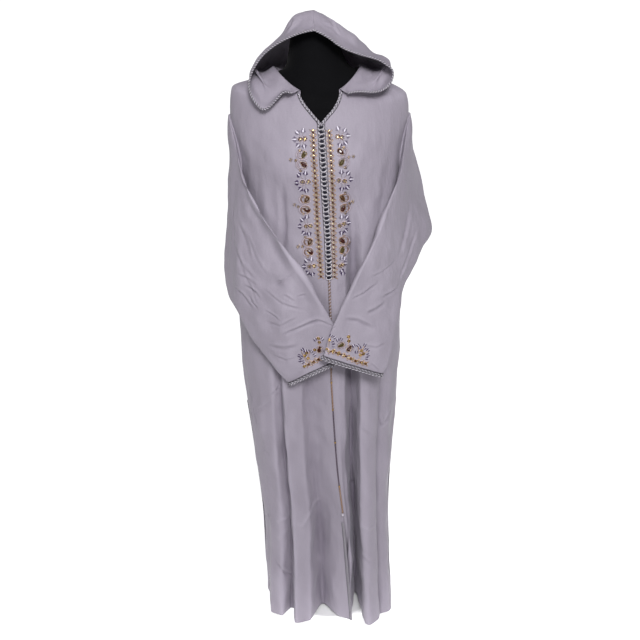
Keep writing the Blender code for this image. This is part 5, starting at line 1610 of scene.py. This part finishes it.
looseBeads = [  # x, z and width of the stone
    (-0.0565, 1.2778, 0.0027), (-0.0679, 1.2794, 0.0034), (-0.0466, 1.2998, 0.0027),
    (-0.0458, 1.2553, 0.0027), (0.0645, 1.2819, 0.0027), (0.0749, 1.2829, 0.0034), (0.0536, 1.3032, 0.0027),
    (0.0566, 1.259, 0.0027), (-0.0633, 1.1769, 0.0034), (-0.0543, 1.1726, 0.0027), (-0.0437, 1.1975, 0.0027),
    (-0.0428, 1.1558, 0.0027), (0.0721, 1.1799, 0.0034), (0.0647, 1.1761, 0.0027), (0.0546, 1.2019, 0.0027),
    (0.0547, 1.1544, 0.0027), (-0.0588, 1.0786, 0.0034), (-0.0477, 1.0786, 0.0027),
    (-0.0404, 1.1008, 0.0027), (-0.0359, 1.055, 0.0027), (0.0621, 1.082, 0.0034), (0.0558, 1.0803, 0.0027),
    (0.0502, 1.1014, 0.0027), (0.0508, 1.0558, 0.0027),
]
lattice = {
    "right": [(-0.0154, 1.3485), (-0.0153, 1.2827), (-0.0123, 1.215), (-0.0112, 1.1171), (-0.0082, 1.0634),
              (-0.006, 1.006)],
    "left": [(0.0206, 1.3466), (0.0234, 1.2843), (0.0255, 1.2098), (0.0256, 1.166), (0.0253, 1.1076),
             (0.0259, 1.0046)],
    "pitch": 0.0112, "half": 0.0074, "gem": 0.0044, "gemTones": (0.65, 0.25, 0.95, 0.45, 0.85),
    "darkBead": 0.0046, "endBead": 0.0026, "arm": 0.0013, "scallop": 0.0008,
}


def latticeStrip(work, line, pitch, half, scallop=0.0):
    # crosses of gold beads with a stone at each middle, along a line of the front view
    run = runs(np.array(line))
    count = int(round(run[-1] / pitch))
    for cell in range(count):
        centre, ahead = (read((cell + share) * run[-1] / count, run, line) for share in (0.5, 0.6))
        heading = unit(ahead - centre)
        side = np.array([heading[1], -heading[0]])
        work.gem(*centre, lattice["gem"], lattice["gemTones"][cell * 3 % len(lattice["gemTones"])])
        work.bead(*(centre + heading * pitch / 2), lattice["darkBead"], 0.0)
        for hand, armTone, beadTone in ((-1, 0.35, 0.9), (1, 0.70, 0.05)):
            arm = [centre + heading * (1 + share) * pitch / 2 + side * hand * share * half
                   for share in (-0.95, 0, 0.95)]
            work.thread(arm, lattice["arm"], (0.0, armTone), gold=True)
            work.bead(*(centre + side * hand * half * 0.93), lattice["endBead"], beadTone)
        if scallop:
            turns = np.radians(np.linspace(0, 360, 15))
            ring = [centre + heading * scallop * np.cos(turn) + side * scallop * 1.1 * np.sin(turn)
                    for turn in turns]
            work.thread(ring, lattice["scallop"], 0.95)


def sprig(work, leaves, heart):
    hub = np.mean([spot[:2] for spot in heart], axis=0)
    for x, z, degrees, tone in leaves:
        work.leaf(x, z, degrees, tone)
        work.strokes(x, z, degrees, tone)
        end = np.array([x, z]) - stemSet["back"] * direction(degrees)
        work.thread([hub, (hub + end) / 2, end], stemSet["radius"], stemSet["tone"])
    for x, z, kind in heart:
        work.flower(x, z, kind)


# scrolls round each teardrop: half width, half height, first and last angle, shift outward, radius, tone
scrolls = (
    (0.0130, 0.0108, -170, 150, 0.0036, 0.0007, 0.95), (0.0146, 0.0118, -140, 100, 0.0040, 0.0004, 0.35),
    (0.0112, 0.0092, -120, 175, 0.0034, 0.0005, 0.15), (0.0050, 0.0062, -130, 200, 0.0082, 0.0007, 0.90),
    (0.0034, 0.0044, -90, 170, 0.0082, 0.0004, 0.10),
)
goldArcs = {"half": (0.0104, 0.0088), "shift": 0.0026, "radius": 0.0010, "tones": (0.10, 0.30),
            "belowZ": 1.25, "angles": ((-70, 40), (60, 150), (-160, -100))}
looseBead = {"beads": 7, "bead": 0.0020, "tones": {0.0034: 0.6, 0.0027: 0.45}}


def makeBodice():
    work = Needlework("front")
    for side in ("right", "left"):
        latticeStrip(work, lattice[side], lattice["pitch"], lattice["half"])
    for key, leaves in sprigs.items():
        sprig(work, leaves, flowers[key])
    for x, z, degrees, kind in teardrops:
        work.teardrop(x, z, degrees, kind)
        hand = -1 if x < 0 else 1
        for wide, high, first, last, shift, radius, tone in scrolls:
            work.thread(arc(x, z, wide, high, first, last, 19, shift, hand), radius, tone)
        if z < goldArcs["belowZ"]:
            for first, last in goldArcs["angles"]:
                line = arc(x, z, *goldArcs["half"], first, last, 9, goldArcs["shift"], hand)
                work.thread(line, goldArcs["radius"], goldArcs["tones"], gold=True)
    for x, z, wide in looseBeads:
        work.gem(x, z, wide, looseBead["tones"][wide])
        for turn in range(looseBead["beads"]):
            out = direction(360 / looseBead["beads"] * turn) * wide
            work.bead(x + out[0], z + out[1], looseBead["bead"], 0.7 * (turn % 2))
    work.finish("bodice_embroidery")


cuffs = {
    "sleeve_left": {
        "lattice": [
            (-0.0005, 0.8398), (0.0169, 0.8407), (0.0446, 0.8278), (0.0705, 0.8135), (0.0943, 0.8062),
        ],
        "teardrops": [(0.0361, 0.8537, 200, "olive"), (0.0559, 0.845, 60, "wine")],
        "leaves": [
            (0.0136, 0.8797, 60, 0.3), (0.0212, 0.8745, 30, 0.5), (0.0185, 0.8623, 20, 0.2),
            (0.0184, 0.8545, 0, 0.4), (0.0378, 0.8696, 60, 0.25), (0.0286, 0.8681, 110, 0.3),
            (0.0935, 0.8514, 65, 0), (0.0934, 0.8433, 30, 0), (0.1013, 0.8379, 40, 0.05),
            (0.1011, 0.8266, 20, 0), (0.0978, 0.8189, -10, 0.1), (0.0804, 0.846, 110, 0.05),
            (0.0725, 0.836, 80, 0.05), (0.0762, 0.8516, 130, 0.3), (0.0663, 0.8517, 120, 0.5),
        ],
        "flowers": [
            (0.0548, 0.8729, "gold"), (0.0553, 0.8634, "copper"), (0.0851, 0.8378, "gold"),
            (0.0818, 0.8285, "gold"), (0.0893, 0.8304, "copper"), (0.0088, 0.8689, "gold"),
            (0.0019, 0.8466, "copper"), (0.0169, 0.8412, "gold"), (0.0307, 0.835, "gold"),
            (0.0446, 0.8283, "copper"), (0.0596, 0.8205, "gold"), (0.0705, 0.8135, "copper"),
            (0.0849, 0.809, "gold"), (0.094, 0.8065, "gold"),
        ],
        "stems": [
            [(0.0075, 0.8534), (0.0092, 0.8665), (0.0133, 0.8773)],
            [(0.0534, 0.852), (0.0553, 0.8639), (0.0549, 0.8772)],
            [(0.0804, 0.8163), (0.0838, 0.832), (0.0913, 0.8478)],
            [(0.0824, 0.8223), (0.091, 0.8312), (0.1008, 0.836)],
            [(0.0812, 0.8248), (0.0778, 0.8374), (0.0768, 0.8484)],
        ],
    },
    "sleeve_right": {
        "lattice": [(-0.0539, 0.7935), (-0.0386, 0.7996), (-0.0166, 0.8111)],
        "teardrops": [(-0.0149, 0.8365, 80, "wine")],
        "leaves": [
            (-0.0562, 0.8389, 120, 0.05), (-0.0548, 0.8302, 100, 0.1), (-0.0651, 0.8231, 165, 0.05),
            (-0.0598, 0.8187, 150, 0.1), (-0.0634, 0.81, 170, 0), (-0.0564, 0.8054, 200, 0.05),
            (-0.0336, 0.8314, 60, 0.3), (-0.0269, 0.8214, 30, 0.3), (-0.0424, 0.8326, 110, 0.4),
            (-0.0491, 0.835, 100, 0.5), (-0.0065, 0.8647, 50, 0.6), (-0.0243, 0.8617, 130, 0.6),
        ],
        "flowers": [
            (-0.0503, 0.8214, "gold"), (-0.0428, 0.8133, "gold"), (-0.046, 0.8279, "copper"),
            (-0.0163, 0.8655, "gold"), (-0.0144, 0.8552, "copper"), (-0.0262, 0.8352, "copper"),
            (-0.0526, 0.794, "gold"), (-0.0421, 0.798, "copper"), (-0.0293, 0.8036, "gold"),
            (-0.0176, 0.8106, "copper"),
        ],
        "stems": [
            [(-0.0151, 0.8483), (-0.0153, 0.8585), (-0.0164, 0.8711)],
            [(-0.0458, 0.8043), (-0.0526, 0.8177), (-0.058, 0.8338)],
            [(-0.0421, 0.8043), (-0.0417, 0.8195), (-0.0376, 0.8323)],
        ],
    },
}


def makeCuffs():
    sizes = {"pitch": 0.0128, "half": 0.0062, "scallop": 0.0056, "teardrop": 0.0150, "leaf": (0.0080, 0.0022),
             "stem": 0.0010, "flower": 0.0068}
    for name, cuff in cuffs.items():
        work = Needlework(name)
        latticeStrip(work, cuff["lattice"], sizes["pitch"], sizes["half"], sizes["scallop"])
        for x, z, degrees, kind in cuff["teardrops"]:
            work.teardrop(x, z, degrees, kind, sizes["teardrop"])
            for wide, high, first, last, _, radius, tone in scrolls:
                work.thread(arc(x, z, 0.75 * wide, 0.8 * high, first, last, 19), radius, tone)
        for leaf in cuff["leaves"]:
            work.leaf(*leaf, *sizes["leaf"])
        for stem in cuff["stems"]:
            work.thread(stem, sizes["stem"], (0.2, 0.6), gold=True)
        for flower in cuff["flowers"]:
            work.flower(*flower, sizes["flower"])
        work.finish(f"{name}_embroidery")


makeBodice()
makeCuffs()
for name in ("lattice_trim_right", "lattice_trim_left"):
    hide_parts(name)
print("embroidery made")

# dress form and its stand
formColumns = ("sideZ", "frontZ", "backZ", "halfWidth", "frontDepth", "backDepth", "middleX")
formTorso = {
    "foot": (0.8, 0.8, 0.8, 0.15, 0.1, 0.108, -0.004),
    "hip": (0.88, 0.88, 0.88, 0.168, 0.112, 0.118, -0.006),
    "highHip": (0.97, 0.97, 0.97, 0.156, 0.104, 0.108, -0.006),
    "waist": (1.07, 1.07, 1.07, 0.122, 0.092, 0.086, -0.004),
    "ribs": (1.16, 1.16, 1.16, 0.137, 0.108, 0.096, -0.002),
    "bust": (1.245, 1.24, 1.25, 0.152, 0.138, 0.103, 0.0),
    "chest": (1.32, 1.312, 1.32, 0.164, 0.124, 0.104, 0.0),
    "armhole": (1.372, 1.355, 1.372, 0.18, 0.111, 0.102, 0.0),
    "cap": (1.406, 1.374, 1.394, 0.188, 0.106, 0.097, 0.0),
}
formNeck = {
    "neckBase": (1.48, 1.428, 1.459, 0.08, 0.079, 0.058, -0.001),
    "neckLow": (1.512, 1.48, 1.494, 0.064, 0.068, 0.056, -0.005),
    "neckMid": (1.54, 1.525, 1.53, 0.056, 0.058, 0.053, -0.008),
    "neckHigh": (1.563, 1.561, 1.561, 0.05, 0.052, 0.05, -0.01),
    "capEdge": (1.578, 1.578, 1.578, 0.042, 0.045, 0.043, -0.01),
    "capRound": (1.587, 1.587, 1.587, 0.03, 0.032, 0.031, -0.01),
    "capTop": (1.5905, 1.5905, 1.5905, 0.014, 0.014, 0.014, -0.01),
}
formSet = {"columns": 80, "rows": 110, "shoulderLevels": (9.4, 9.8, 10.2, 10.6), "under": 0.0020,
           "squareness": 2.1}
standSet = {"footRadius": 0.145, "footThick": 0.014, "poleRadius": 0.016, "poleTop": 0.7997, "around": 96}


def closeRings(name, rings, material, replaced):
    # a solid through a stack of rings, closed at both ends
    rows, columns = rings.shape[:2]
    quads = gridQuads(rows, columns, True).tolist()
    ends = [list(range(columns))[::-1], [(rows - 1) * columns + i for i in range(columns)]]
    mesh = bpy.data.meshes.new(name)
    mesh.from_pydata(rings.reshape(-1, 3).tolist(), [], quads + ends)
    solid = bmesh.new()
    solid.from_mesh(mesh)
    bmesh.ops.recalc_face_normals(solid, faces=solid.faces)
    if solid.calc_volume(signed=True) < 0:
        bmesh.ops.reverse_faces(solid, faces=solid.faces)
    solid.to_mesh(mesh)
    solid.free()
    mesh.shade_smooth()
    mesh.set_sharp_from_angle(angle=np.radians(50))
    addPiece(mesh, replaced, material)


def formRing(row, around):
    value = dict(zip(formColumns, row), squareness=formSet["squareness"], lean=0.0)
    return sectionRing(value, around)


def makeForm():
    around = np.arange(formSet["columns"]) * 360 / formSet["columns"]
    rings = [formRing(row, around) for row in formTorso.values()]
    rings += [plainRing(level, around) - bodyNormal(level, around) * formSet["under"]
              for level in formSet["shoulderLevels"]]
    rings += [formRing(row, around) for row in formNeck.values()]
    closeRings("form_body", refine(np.array(rings), formSet["rows"]), finishes["jersey"],
               ["dress_form"])


def turnedRings(profile):
    around = np.arange(standSet["around"]) * 2 * np.pi / standSet["around"]
    return np.array([[(radius * np.sin(turn), -radius * np.cos(turn), height) for turn in around]
                     for radius, height in profile])


def makeStand():
    radius, top = standSet["footRadius"], standSet["footThick"]
    collar = top + 0.020
    profile = [(radius - 0.002, 0.0), (radius, 0.002), (radius, top - 0.005), (radius - 0.0015, top - 0.0015),
               (radius - 0.005, top), (0.032, top + 0.003), (0.028, top + 0.0045), (0.0262, top + 0.007),
               (0.026, collar - 0.003), (0.0254, collar - 0.001), (0.024, collar)]
    closeRings("stand_foot_plate", turnedRings(profile), finishes["steel"], ["stand_foot"])
    pole = standSet["poleRadius"]
    profile = [(pole - 0.0006, collar + 0.0003), (pole, collar + 0.0009), (pole, 0.55), (pole + 0.004, 0.553),
               (pole + 0.004, 0.575), (pole, 0.578), (pole, standSet["poleTop"])]
    closeRings("stand_pole_tube", turnedRings(profile), finishes["steel"], ["stand_pole"])


makeForm()
makeStand()
print("form and stand made")

# the small shapes are not needed once they are set on the cloth
for shape in shapes.values():
    bpy.data.objects.remove(shape)
